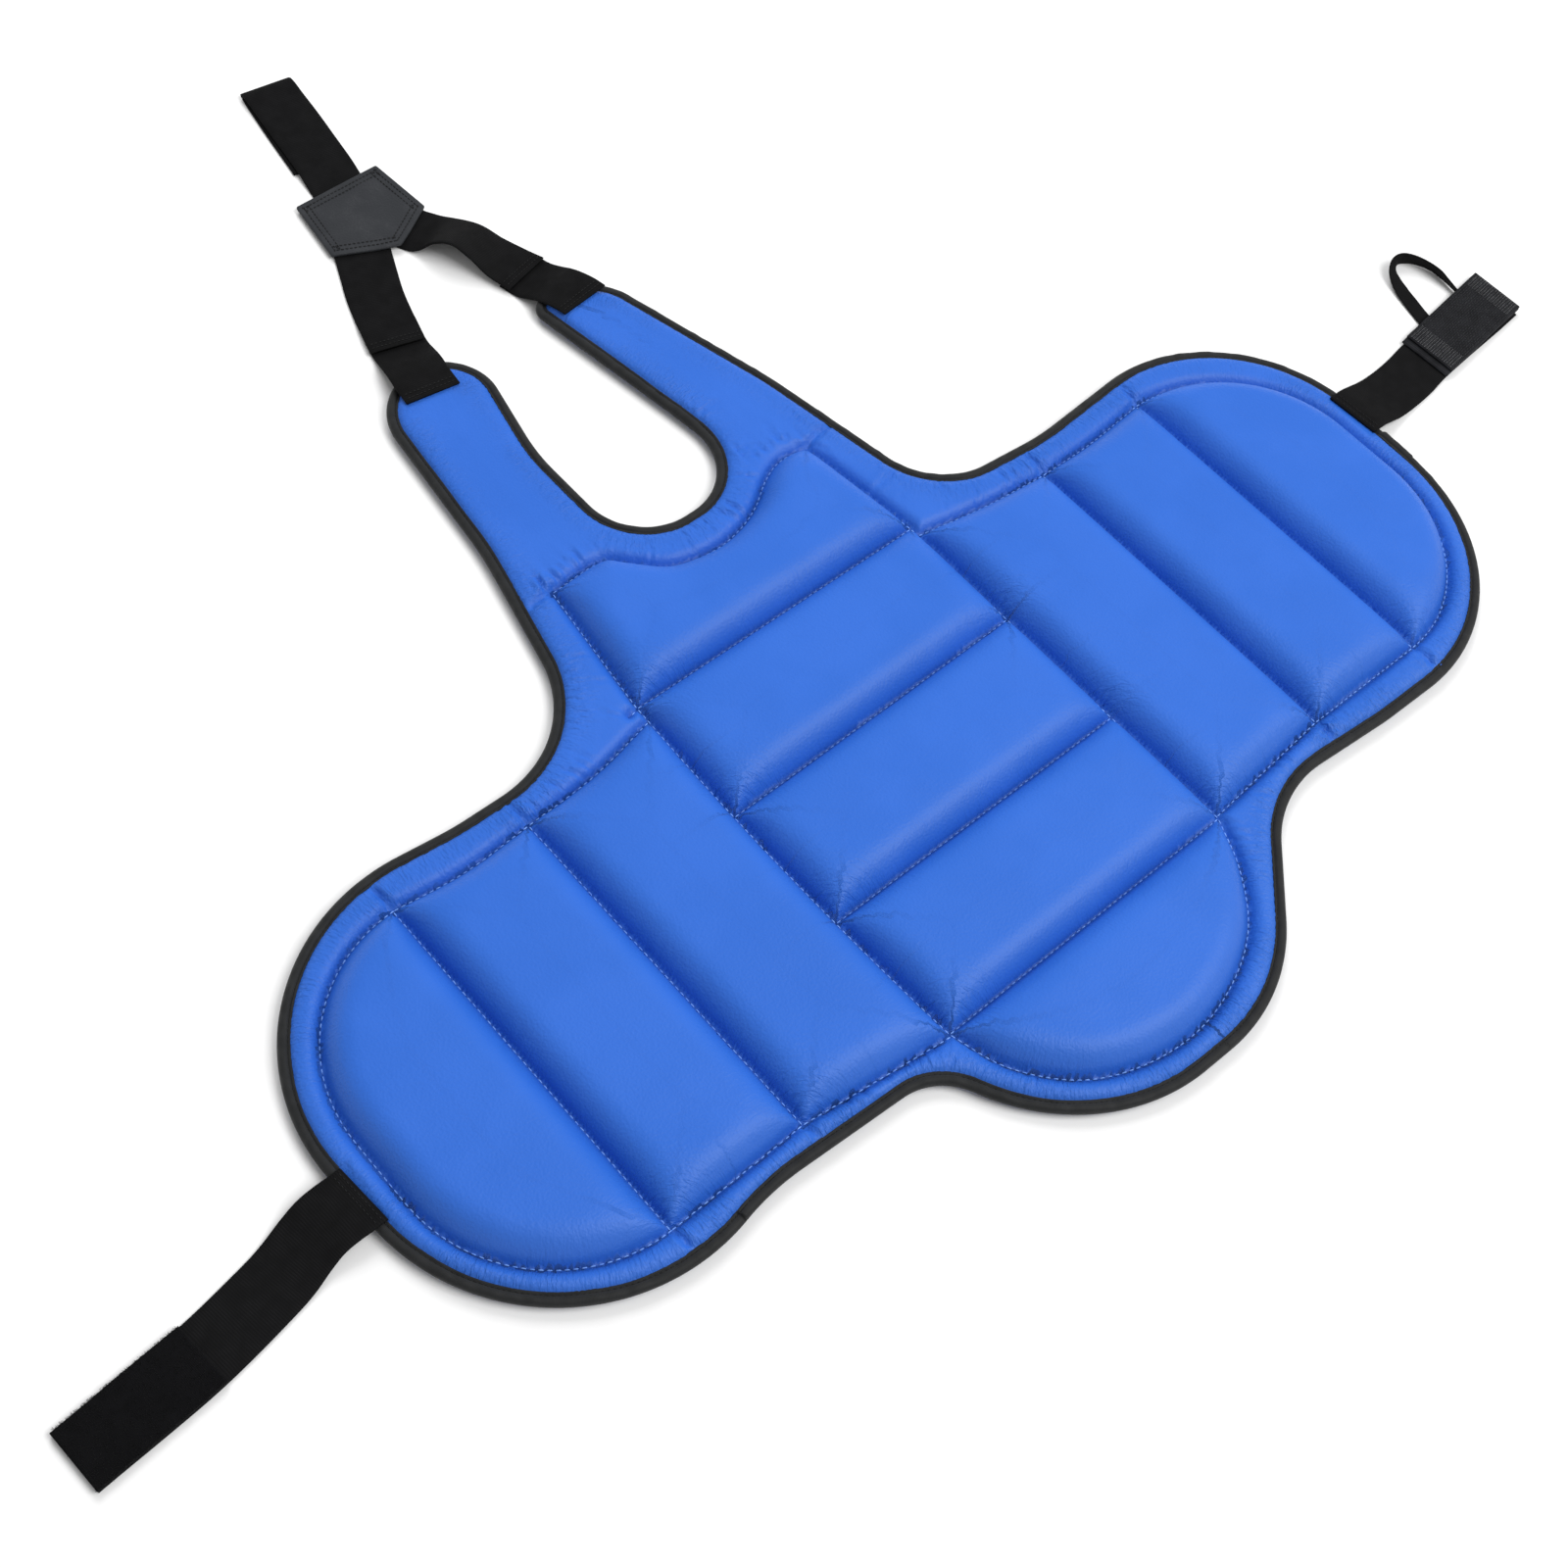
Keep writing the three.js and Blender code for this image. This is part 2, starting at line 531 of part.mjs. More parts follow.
// A notch along a short border seam: a bar lying on its corner, sunk into the border
function tuck({ from, to }) {
  const start = new THREE.Vector3(...from, TUCK_Z);
  const end = new THREE.Vector3(...to, TUCK_Z);
  const bar = new THREE.BoxGeometry(start.distanceTo(end), TUCK_SIDE, TUCK_SIDE);
  bar.rotateX(Math.PI / 4);
  bar.rotateZ(Math.atan2(end.y - start.y, end.x - start.x));
  const middle = start.add(end).multiplyScalar(0.5);
  bar.translate(middle.x, middle.y, middle.z);
  return closed(bar);
}

const OUTLINE = [...RIGHT_HALF, ...mirrored(LEFT_HALF)];
const RIGHT_WING = [wingCell(0), wingCell(1), wingEndCell()];
const CELLS = [
  CHEST_CELL,
  rowCell(ROW_Y.upper, ROW_Y.chest),
  rowCell(ROW_Y.middle, ROW_Y.upper),
  rowCell(ROW_Y.lower, ROW_Y.middle),
  LOBE_CELL,
  ...RIGHT_WING,
  ...RIGHT_WING.map(mirroredCell),
];

// Padded panel: a rolled-edge sheet, sunk round each cell, with the cells' crowns standing on it
function bodyPanel() {
  let panel = solid(pillow(OUTLINE, PANEL_PROFILE));
  for (const cell of CELLS) {
    const loop = cellLoop(cell);
    panel = panel.subtract(solid(loft(MOAT_PROFILE.map((level) => grown(loop, level)))));
  }
  for (const { from, to } of BORDER_TUCKS) {
    const mirror = ([x, y]) => [-x, y];
    panel = panel.subtract(solid(tuck({ from, to })));
    panel = panel.subtract(solid(tuck({ from: mirror(from), to: mirror(to) })));
  }
  for (const cell of CELLS) panel = panel.add(solid(stuffedCell(cell)));
  return geometryOf(panel);
}

// Binding: a folded tape all round the panel's edge
function edgeBinding() {
  return loft(BINDING_PROFILE.map((level) => ring(OUTLINE, level)), true);
}

function piece(name, geometry, material) {
  const mesh = new THREE.Mesh(geometry, material);
  mesh.name = name;
  return mesh;
}

const panel = new THREE.Group();
panel.add(
  piece("body_panel", bodyPanel(), BLUE_LEATHER),
  piece("edge_binding", edgeBinding(), BLACK_TAPE),
);

const harness = new THREE.Group();
harness.add(
  piece("shoulder_tab_left", strap(LEFT_TAB, { steps: 3 }), BLACK_ELASTIC),
  piece("shoulder_tab_right", strap(RIGHT_TAB, { steps: 3 }), BLACK_ELASTIC),
  piece("shoulder_elastic_left", strap(LEFT_ELASTIC), BLACK_ELASTIC),
  piece("shoulder_elastic_right", strap(RIGHT_ELASTIC), BLACK_ELASTIC),
  piece("yoke_patch", pillow(YOKE, YOKE_PROFILE), CHARCOAL_LEATHER),
  piece("yoke_elastic", strap(YOKE_ELASTIC), BLACK_ELASTIC),
);

const waist = new THREE.Group();
waist.add(
  piece("waist_strap_left", strap(LEFT_WAIST), BLACK_ELASTIC),
  piece("loop_tape", strap(LOOP_TAPE, { thick: LOOP_TAPE_THICK }), LOOP_BLACK),
  piece("waist_strap_right", strap(RIGHT_WAIST), BLACK_ELASTIC),
  piece("hook_backing", strap(HOOK_BASE, HOOK_SECTION), HOOK_BLACK),
  piece("hook_tape", strap(HOOK_TAPE, HOOK_SECTION), HOOK_BLACK),
  piece("finger_loop", strap(FINGER_LOOP, FINGER_LOOP_SECTION), BLACK_ELASTIC),
);

const protector = new THREE.Group();
protector.add(panel, harness, waist);

export default protector;
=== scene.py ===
"""Looks of a quilted body protector that lies on its back with its straps spread out.

Lengths are in millimetres in the part's own frame, and turn into metres where a mesh is made.
"""
import logging
import math
from dataclasses import dataclass, field
from enum import Enum, IntEnum
from functools import cached_property
from typing import Iterator, Sequence, Union

import bpy
import numpy as np
from mathutils import Matrix, Vector
from mathutils.geometry import delaunay_2d_cdt
from mathutils.kdtree import KDTree


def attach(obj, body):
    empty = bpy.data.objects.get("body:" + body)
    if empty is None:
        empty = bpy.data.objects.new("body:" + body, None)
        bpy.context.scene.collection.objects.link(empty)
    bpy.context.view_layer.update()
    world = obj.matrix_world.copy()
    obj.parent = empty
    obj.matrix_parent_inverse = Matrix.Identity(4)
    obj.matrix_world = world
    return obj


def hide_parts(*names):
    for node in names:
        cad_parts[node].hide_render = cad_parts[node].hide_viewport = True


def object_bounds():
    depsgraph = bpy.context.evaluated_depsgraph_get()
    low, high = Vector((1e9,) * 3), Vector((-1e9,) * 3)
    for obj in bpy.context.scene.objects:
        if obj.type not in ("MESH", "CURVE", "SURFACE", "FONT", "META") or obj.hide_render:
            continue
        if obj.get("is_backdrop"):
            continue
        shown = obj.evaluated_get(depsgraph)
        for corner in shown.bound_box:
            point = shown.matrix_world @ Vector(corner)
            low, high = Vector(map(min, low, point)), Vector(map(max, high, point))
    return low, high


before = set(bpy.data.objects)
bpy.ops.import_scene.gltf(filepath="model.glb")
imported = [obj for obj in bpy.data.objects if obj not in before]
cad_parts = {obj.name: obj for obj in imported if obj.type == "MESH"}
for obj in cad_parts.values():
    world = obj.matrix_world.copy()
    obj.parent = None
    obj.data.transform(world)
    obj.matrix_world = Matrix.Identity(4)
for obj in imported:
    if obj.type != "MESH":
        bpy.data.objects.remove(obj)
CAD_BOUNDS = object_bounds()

log = logging.getLogger("body_protector")

MM = 0.001
BODY = "root"
Pairs = tuple[tuple[float, float], ...]


class Slot(Enum):
    """The material slots."""

    PANEL = "panel_leather"
    BINDING = "binding_tape"
    ELASTIC = "elastic"
    YOKE = "yoke_leather"
    LOOP = "loop_pile"
    HOOK = "hook_tape"


class Held(Enum):
    """How a strap lies."""

    LAID = "laid"
    FOLDED = "folded"


class Seed(IntEnum):
    """Seeds of the random patterns."""

    CELL_SLACK = 3
    CELL_SLACK_FINER = 4
    PATCH_PLACES = 5
    PANEL_PLACES = 11
    CREASES = 12
    CELL_PATCHES = 21
    CELL_FOLDS = 22
    CELL_FOLDS_FINER = 23
    ARC_FOLDS = 24
    BORDER_PATCHES = 31
    BORDER_FOLDS = 32
    BORDER_FOLDS_FINER = 33
    CRUMPLE_PATCHES = 35
    TAPE_WANDER = 41
    TAPE_PUCKERS = 42
    PATCH_UNEVEN = 51
    HOOKS = 61
    PILE = 62


# Shader maths


Value = Union[float, "Socket"]


class Socket:
    """A node's output that takes part in Python expressions."""

    def __init__(self, shader: "Shader", link: bpy.types.NodeSocket) -> None:
        """Keeps the output and the shader that it belongs to."""
        self.shader = shader
        self.link = link

    def math(self, operation: str, *values: Value) -> "Socket":
        """A Math node of the given values."""
        return self.shader.node("ShaderNodeMath", {"operation": operation}, dict(enumerate(values)))

    def __add__(self, other: Value) -> "Socket":
        """Sum."""
        return self.math("ADD", self, other)

    def __sub__(self, other: Value) -> "Socket":
        """Difference."""
        return self.math("SUBTRACT", self, other)

    def __rsub__(self, other: float) -> "Socket":
        """Difference from a number."""
        return self.math("SUBTRACT", other, self)

    def __mul__(self, other: Value) -> "Socket":
        """Product."""
        return self.math("MULTIPLY", self, other)

    __radd__ = __add__
    __rmul__ = __mul__

    def sine(self) -> "Socket":
        """Sine of the value as an angle."""
        return self.math("SINE", self)

    def over(self, low: float, high: float) -> "Socket":
        """The value's share of the way from low to high, kept from 0 to 1."""
        settings = {"clamp": True, "interpolation_type": "SMOOTHSTEP"}
        return self.shader.node("ShaderNodeMapRange", settings, {0: self, 1: low, 2: high})


class Shader:
    """A material under way, with one principled surface."""

    def __init__(self, name: str) -> None:
        """Starts an empty material of that name."""
        self.material = bpy.data.materials.new(name)
        self.material.use_nodes = True
        self.tree = self.material.node_tree
        self.tree.nodes.clear()

    def node(self, kind: str, settings: dict | None = None, inputs: dict | None = None,
             output: int | str = 0) -> Socket:
        """Adds a node.

        Args:
            kind: the node's type.
            settings: its own properties, set first.
            inputs: values or links, by the socket's name or number.
            output: the output that is wanted.

        Returns:
            That output.
        """
        node = self.tree.nodes.new(kind)
        for key, value in (settings or {}).items():
            setattr(node, key, value)
        for key, value in (inputs or {}).items():
            if isinstance(value, Socket):
                self.tree.links.new(value.link, node.inputs[key])
            else:
                node.inputs[key].default_value = value
        return Socket(self, node.outputs[output])

    def place(self) -> Socket:
        """Places in the part's frame, in metres."""
        return self.node("ShaderNodeTexCoord", output="Object")

    def attribute(self, name: str, output: str) -> Socket:
        """A value that the mesh carries."""
        return self.node("ShaderNodeAttribute", {"attribute_name": name}, output=output)

    def noise(self, vector: Socket, scale: float, detail: float = 2.0,
              distortion: float = 0.0) -> Socket:
        """Soft noise from 0 to 1."""
        inputs = {"Vector": vector, "Scale": scale, "Detail": detail, "Distortion": distortion}
        return self.node("ShaderNodeTexNoise", inputs=inputs)

    def specks(self, vector: Socket, size: float, detail: float = 2.0) -> Socket:
        """Soft noise whose specks are about that many millimetres in size."""
        return self.noise(vector, 1 / (size * MM), detail)

    def folds(self, vector: Socket, size: tuple[float, float], detail: float,
              distortion: float = 0.0) -> Socket:
        """Soft noise drawn out into folds of that width and length."""
        factors = (1 / size[0], 1 / size[1], 0.0)
        settings = {"operation": "MULTIPLY"}
        drawn = self.node("ShaderNodeVectorMath", settings, {0: vector, 1: factors})
        return self.noise(drawn, 1.0, detail, distortion)

    def pebbles(self, vector: Socket, size: float) -> Socket:
        """Distance from the middles of random pebbles, about that many millimetres in size."""
        inputs = {"Vector": vector, "Scale": 1 / (size * MM)}
        return self.node("ShaderNodeTexVoronoi", {"feature": "SMOOTH_F1"}, inputs)

    def parts(self, vector: Socket) -> tuple[Socket, Socket, Socket]:
        """The three parts of a vector."""
        split = self.node("ShaderNodeSeparateXYZ", inputs={0: vector}).link.node
        return tuple(Socket(self, output) for output in split.outputs)

    def mix(self, share: Value, first: tuple | Socket, second: tuple | Socket) -> Socket:
        """A colour between two."""
        first = (*first, 1.0) if isinstance(first, tuple) else first
        second = (*second, 1.0) if isinstance(second, tuple) else second
        return self.node("ShaderNodeMix", {"data_type": "RGBA"}, {0: share, 6: first, 7: second}, 2)

    def bump(self, height: Socket, depth: float, before: Socket | None = None) -> Socket:
        """A bent normal; depth in millimetres for a height of 1."""
        inputs = {"Strength": 1.0, "Distance": depth * MM, "Height": height}
        if before is not None:
            inputs["Normal"] = before
        return self.node("ShaderNodeBump", inputs=inputs)

    def surface(self, **inputs: object) -> bpy.types.Material:
        """Closes the material with a principled surface; underscores stand for spaces."""
        named = {key.replace("_", " "): value for key, value in inputs.items()}
        surface = self.node("ShaderNodeBsdfPrincipled", inputs=named)
        out = self.tree.nodes.new("ShaderNodeOutputMaterial")
        self.tree.links.new(surface.link, out.inputs["Surface"])
        return self.material


# Finishes


Colour = tuple[float, float, float]


@dataclass(frozen=True)
class QuiltLeather:
    """Blue coated leather with a fine grain that crumples beside the seams, and shade painted into
    the seam grooves.
    """

    colour: Colour = (0.0195, 0.118, 0.540)
    faded: Colour = (0.0235, 0.127, 0.570)
    # Painted shade: the darker blue that the colour turns to in the seam grooves, where shade
    # falls.
    deep: Colour = (0.005, 0.060, 0.380)
    groove_shade_share: float = 0.75
    shine: tuple[float, ...] = (0.82, 0.94, 1.0, 1.0)
    specular: float = 0.52
    roughness: float = 0.52
    grain: float = 1.5
    fine_grain: float = 0.45
    grain_depth: float = 0.19
    clouds: float = 60.0
    fold: tuple[float, float] = (1.7, 7.5)
    curl: tuple[float, float] = (1.9, 7.5)
    curl_distortion: float = 0.9
    crease_depth: float = 1.15

    def material(self) -> bpy.types.Material:
        """The leather as a material."""
        shader = Shader("quilt_leather")
        place = shader.place()
        crumple = shader.attribute("crumple", "Fac")
        flow = shader.attribute("flow", "Vector")
        arcs = shader.attribute("arcs", "Vector")
        valley = shader.attribute("valley", "Fac")
        pebbles = shader.pebbles(place, self.grain)
        fine = shader.specks(place, self.fine_grain)
        cloudy = shader.specks(place, self.clouds, 3.0)
        folds = shader.folds(flow, self.fold, 3.0)
        curls = shader.folds(arcs, self.curl, 2.0, self.curl_distortion)
        gathered = shader.parts(arcs)[2]
        tone = shader.mix(cloudy.over(0.35, 0.68), self.colour, self.faded)
        # Painted shade: the colour darkens towards the deep blue in the seam grooves.
        tone = shader.mix(valley * self.groove_shade_share, tone, self.deep)
        rough = self.roughness + 0.10 * (fine - 0.5) + 0.08 * (cloudy - 0.5)
        grain = shader.bump(pebbles + 0.35 * fine, self.grain_depth)
        creased = shader.bump(folds * crumple + curls * gathered, self.crease_depth, grain)
        return shader.surface(
            Base_Color=tone, Roughness=rough, Normal=creased,
            Specular_IOR_Level=self.specular, Specular_Tint=self.shine,
        )


@dataclass(frozen=True)
class PatchLeather:
    """Charcoal coated leather of the yoke."""

    colour: Colour = (0.026, 0.028, 0.032)
    worn: Colour = (0.045, 0.047, 0.052)
    specular: float = 0.22
    roughness: float = 0.58
    grain: float = 1.3
    fine_grain: float = 0.5
    grain_depth: float = 0.22
    clouds: float = 18.0

    def material(self) -> bpy.types.Material:
        """The leather as a material."""
        shader = Shader("patch_leather")
        place = shader.place()
        pebbles = shader.pebbles(place, self.grain)
        fine = shader.specks(place, self.fine_grain)
        cloudy = shader.specks(place, self.clouds, 3.0)
        tone = shader.mix(cloudy.over(0.40, 0.75) * pebbles, self.colour, self.worn)
        rough = self.roughness + 0.16 * (fine - 0.5)
        normal = shader.bump(pebbles + 0.4 * fine, self.grain_depth)
        return shader.surface(
            Base_Color=tone, Roughness=rough, Normal=normal, Specular_IOR_Level=self.specular,
        )


@dataclass(frozen=True)
class Webbing:
    """Woven tape with crosswise ribs and fine lengthwise warp threads."""

    name: str
    colour: Colour
    worn: Colour
    rib: float
    warp: float
    depth: float
    roughness: float
    sheen: float
    wander: float = 9.0
    fuzz: float = 0.35
    specular: float = 0.12

    def material(self) -> bpy.types.Material:
        """The webbing as a material."""
        shader = Shader(self.name)
        place = shader.place()
        along, across, _ = shader.parts(shader.attribute("weave", "Vector"))
        wander = shader.specks(place, self.wander)
        fuzz = shader.specks(place, self.fuzz)
        ribs = 0.5 + 0.5 * (along * (2 * math.pi / self.rib) + wander * 1.2).sine()
        warps = 0.5 + 0.5 * (across * (2 * math.pi / self.warp)).sine()
        weave = ribs * 0.6 + warps * 0.3 + fuzz * 0.5
        tone = shader.mix(weave.over(0.35, 1.1) * wander.over(0.2, 0.8), self.colour, self.worn)
        rough = self.roughness + 0.15 * (fuzz - 0.5)
        return shader.surface(
            Base_Color=tone, Roughness=rough, Normal=shader.bump(weave, self.depth),
            Specular_IOR_Level=self.specular, Sheen_Weight=self.sheen, Sheen_Roughness=0.5,
        )


@dataclass(frozen=True)
class Filament:
    """Thread, pile fibres and moulded hooks: one tone with a slight change from place to place."""

    name: str
    colour: Colour
    other: Colour
    roughness: float = 0.5
    patch: float = 3.0
    twist: float = 0.25
    twist_depth: float = 0.05

    def material(self) -> bpy.types.Material:
        """The filament as a material."""
        shader = Shader(self.name)
        place = shader.place()
        change = shader.specks(place, self.patch)
        twist = shader.specks(place, self.twist)
        tone = shader.mix(change.over(0.3, 0.7), self.colour, self.other)
        rough = self.roughness + 0.2 * (twist - 0.5)
        normal = shader.bump(twist, self.twist_depth)
        return shader.surface(Base_Color=tone, Roughness=rough, Normal=normal)


@dataclass(frozen=True)
class StudioFloor:
    """Pale matt floor."""

    colour: Colour = (0.90, 0.90, 0.90)
    other: Colour = (0.88, 0.88, 0.88)

    def material(self) -> bpy.types.Material:
        """The floor as a material."""
        shader = Shader("studio_floor")
        tone = shader.mix(shader.noise(shader.place(), 3.0), self.colour, self.other)
        return shader.surface(Base_Color=tone, Roughness=0.9, Specular_IOR_Level=0.1)


ELASTIC = Webbing(
    "elastic_webbing", (0.0040, 0.0040, 0.0043), (0.0085, 0.0085, 0.0092),
    rib=1.5, warp=0.9, depth=0.12, roughness=0.80, sheen=0.0,
)
BINDING = Webbing(
    "binding_tape", (0.016, 0.0168, 0.0175), (0.028, 0.0288, 0.0295),
    rib=0.7, warp=0.7, depth=0.06, roughness=0.55, sheen=0.08,
)
LOOP_BASE = Webbing(
    "loop_ground", (0.0025, 0.0025, 0.003), (0.005, 0.005, 0.006),
    rib=0.9, warp=0.9, depth=0.15, roughness=0.90, sheen=0.02,
)
HOOK_BASE = Webbing(
    "hook_ground", (0.009, 0.0093, 0.0108), (0.026, 0.0268, 0.0310),
    rib=1.7, warp=1.1, depth=0.16, roughness=0.55, sheen=0.0,
)
SEAM_THREAD = Filament("seam_thread", (0.120, 0.300, 0.820), (0.200, 0.400, 0.880), 0.45)
BLACK_THREAD = Filament("black_thread", (0.003, 0.003, 0.0034), (0.006, 0.006, 0.0064), 0.7)
PILE_FIBRE = Filament("pile_fibre", (0.003, 0.003, 0.0034), (0.009, 0.009, 0.010), 0.8)
HOOK_FILAMENT = Filament("hook_filament", (0.027, 0.028, 0.031), (0.054, 0.055, 0.061), 0.40)
GREY_THREAD = Filament("grey_thread", (0.060, 0.062, 0.068), (0.190, 0.192, 0.200), 0.5, 1.2)


# Meshes


def mesh_piece(name: str, points: np.ndarray, faces: Sequence[Sequence[int]],
               material: bpy.types.Material) -> bpy.types.Object:
    """Makes a smooth mesh object.

    Args:
        name: the piece's name.
        points: its corners, in millimetres.
        faces: the corners of each face.
        material: what it is made of.

    Returns:
        The object, in the scene.
    """
    mesh = bpy.data.meshes.new(name)
    mesh.from_pydata((points * MM).tolist(), [], faces)
    mesh.materials.append(material)
    mesh.shade_smooth()
    piece = bpy.data.objects.new(name, mesh)
    bpy.context.scene.collection.objects.link(piece)
    return piece


def carry(piece: bpy.types.Object, name: str, values: np.ndarray) -> None:
    """Stores a number or a vector at each corner of a piece."""
    kind, part = ("FLOAT", "value") if values.ndim == 1 else ("FLOAT_VECTOR", "vector")
    layer = piece.data.attributes.new(name, kind, "POINT")
    layer.data.foreach_set(part, values.astype(np.float32).ravel())


def dress(piece: bpy.types.Object, slot: Slot, *nodes: str) -> bpy.types.Object:
    """Puts a piece on the body, in place of the solids that it stands for."""
    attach(piece, BODY)
    if nodes:
        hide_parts(*nodes)
    log.info("%s: %d faces", piece.name, len(piece.data.polygons))
    return piece


def grid_faces(rows: int, columns: int, loop: bool) -> list[list[int]]:
    """Faces of a sheet of rings that close on themselves.

    Args:
        rows: how many rings.
        columns: corners in each ring.
        loop: whether the last ring joins the first.

    Returns:
        The four corners of each face.
    """
    rings = np.arange(rows if loop else rows - 1)
    row, column = np.meshgrid(rings, np.arange(columns), indexing="ij")
    after, beside = (row + 1) % rows, (column + 1) % columns
    corners = [
        row * columns + column, row * columns + beside,
        after * columns + beside, after * columns + column,
    ]
    return np.stack([c.ravel() for c in corners], axis=1).tolist()


def tubes(rings: Sequence[np.ndarray], sides: int) -> tuple[np.ndarray, list[list[int]]]:
    """Many closed tubes that are alike.

    Args:
        rings: for each corner of one tube, ring after ring, its place on every tube.
        sides: corners in a ring.

    Returns:
        The corners, tube after tube, and the faces.
    """
    points = np.stack(rings, axis=1)
    count, size = points.shape[:2]
    one = grid_faces(size // sides, sides, False)
    one += [list(range(sides))[::-1], list(range(size - sides, size))]
    faces = [[c + k * size for c in face] for k in range(count) for face in one]
    return points.reshape(-1, 3), faces


def unit(vectors: np.ndarray) -> np.ndarray:
    """Vectors brought to length 1."""
    return vectors / np.maximum(np.linalg.norm(vectors, axis=-1, keepdims=True), 1e-9)


def smooth_line(points: np.ndarray, shares: np.ndarray) -> np.ndarray:
    """Places on a smooth line through points.

    Args:
        points: what the line goes through, a row each.
        shares: places along it, counted in points from the first.

    Returns:
        A row for each place.
    """
    ends = np.vstack([2 * points[0] - points[1], points, 2 * points[-1] - points[-2]])
    gaps = np.maximum(np.linalg.norm(np.diff(ends, axis=0), axis=1) ** 0.5, 1e-2)
    first = np.clip(shares.astype(int), 0, len(points) - 2)
    share = (shares - first)[:, None]
    p0, p1, p2, p3 = (ends[first + k] for k in range(4))
    g0, g1, g2 = (gaps[first + k][:, None] for k in range(3))
    into = ((p1 - p0) / g0 - (p2 - p0) / (g0 + g1) + (p2 - p1) / g1) * g1
    out = ((p2 - p1) / g1 - (p3 - p1) / (g1 + g2) + (p3 - p2) / g2) * g1
    bend = 3 * (p2 - p1) - 2 * into - out
    return p1 + into * share + bend * share ** 2 + (2 * (p1 - p2) + into + out) * share ** 3


def lengths_along(line: np.ndarray) -> np.ndarray:
    """How far along a line each of its points is."""
    return np.concatenate([[0.0], np.cumsum(np.linalg.norm(np.diff(line, axis=0), axis=1))])


def evenly(line: np.ndarray, step: float) -> np.ndarray:
    """A line's points again, at an even distance near step."""
    along = lengths_along(line)
    wanted = np.linspace(0, along[-1], max(2, round(along[-1] / step) + 1))
    return np.stack([np.interp(wanted, along, line[:, k]) for k in range(line.shape[1])], axis=1)


def curve(points: Sequence[Sequence[float]], step: float = 2.0) -> np.ndarray:
    """A straight line between two points, or a smooth one through more."""
    given = np.array(points, float)
    if len(given) > 2:
        given = smooth_line(given, np.linspace(0, len(given) - 1, 24 * (len(given) - 1) + 1))
    return evenly(given, step)


def lattice_noise(x: np.ndarray, y: np.ndarray, seed: int) -> np.ndarray:
    """Smooth seeded noise from -1 to 1 on a square lattice of size 1.

    Args:
        x: places across.
        y: places up.
        seed: the lattice's seed.

    Returns:
        A value for each place.
    """
    size = 256
    table = np.random.default_rng(seed).uniform(-1, 1, (size, size))
    i, j = np.floor(x).astype(int), np.floor(y).astype(int)
    u, v = x - i, y - j
    u, v = u * u * u * (u * (6 * u - 15) + 10), v * v * v * (v * (6 * v - 15) + 10)
    low = table[i % size, j % size] * (1 - u) + table[(i + 1) % size, j % size] * u
    high = table[i % size, (j + 1) % size] * (1 - u) + table[(i + 1) % size, (j + 1) % size] * u
    return low * (1 - v) + high * v


def quarter_round(share: np.ndarray) -> np.ndarray:
    """A quarter circle's rise, from 0 at 0 to 1 at 1 and beyond."""
    return np.sqrt(np.maximum(0.0, 1 - (1 - np.clip(share, 0, 1)) ** 2))


GROOVE_HALF = 0.9
ROLL_OVER = 2.2
STEEPNESS = 0.75


def pad_rise(distance: np.ndarray, roll: float) -> np.ndarray:
    """A stuffed side's rise from 0 to 1: flat in the groove, steep beside it, then rolling over."""
    share = np.clip((distance - GROOVE_HALF) / roll, 0, 1)
    return (1 - (1 - share) ** ROLL_OVER) ** STEEPNESS


def soft_least(a: np.ndarray, b: np.ndarray, blend: float) -> np.ndarray:
    """The lesser of two heights, with a rounded change between them."""
    return -blend * np.logaddexp(-a / blend, -b / blend)


def segment_distance(places: np.ndarray, line: np.ndarray) -> np.ndarray:
    """Distance of each place from a line of straight stretches."""
    best = np.full(len(places), np.inf)
    for start, end in zip(line[:-1], line[1:]):
        run = end - start
        share = np.clip((places - start) @ run / max(run @ run, 1e-9), 0, 1)
        best = np.minimum(best, np.hypot(*(places - start - share[:, None] * run).T))
    return best


def holds(loop: np.ndarray, places: np.ndarray) -> np.ndarray:
    """Whether each place is inside a closed loop."""
    inside = np.zeros(len(places), bool)
    x, y = places.T
    for (x0, y0), (x1, y1) in zip(loop, np.roll(loop, -1, axis=0)):
        if y0 != y1:
            crosses = (y0 > y) != (y1 > y)
            inside ^= crosses & (x < x0 + (y - y0) * (x1 - x0) / (y1 - y0))
    return inside


@dataclass
class Nearest:
    """What the nearest sample of some lines is, for each place."""

    distance: np.ndarray
    along: np.ndarray


class LineIndex:
    """Finds the nearest place on a set of lines."""

    def __init__(self, lines: Sequence[np.ndarray], step: float = 0.8) -> None:
        """Samples the lines at that step."""
        runs = [evenly(line, step) for line in lines]
        points = np.vstack(runs)
        apart = 977.0
        self.along = np.concatenate([lengths_along(run) + apart * k for k, run in enumerate(runs)])
        self.tree = KDTree(len(points))
        for k, (x, y) in enumerate(points):
            self.tree.insert((x, y, 0.0), k)
        self.tree.balance()

    def nearest(self, places: np.ndarray) -> Nearest:
        """The nearest sample to each place."""
        found = [self.tree.find((x, y, 0.0))[1:] for x, y in places]
        number = np.array([n for n, _ in found], int)
        distance = np.array([d for _, d in found])
        return Nearest(distance, self.along[number])


# The panel's outline and seams


@dataclass(frozen=True)
class Corner:
    """A corner of the panel's outline and how far it is rounded."""

    name: str
    x: float
    y: float
    round: float


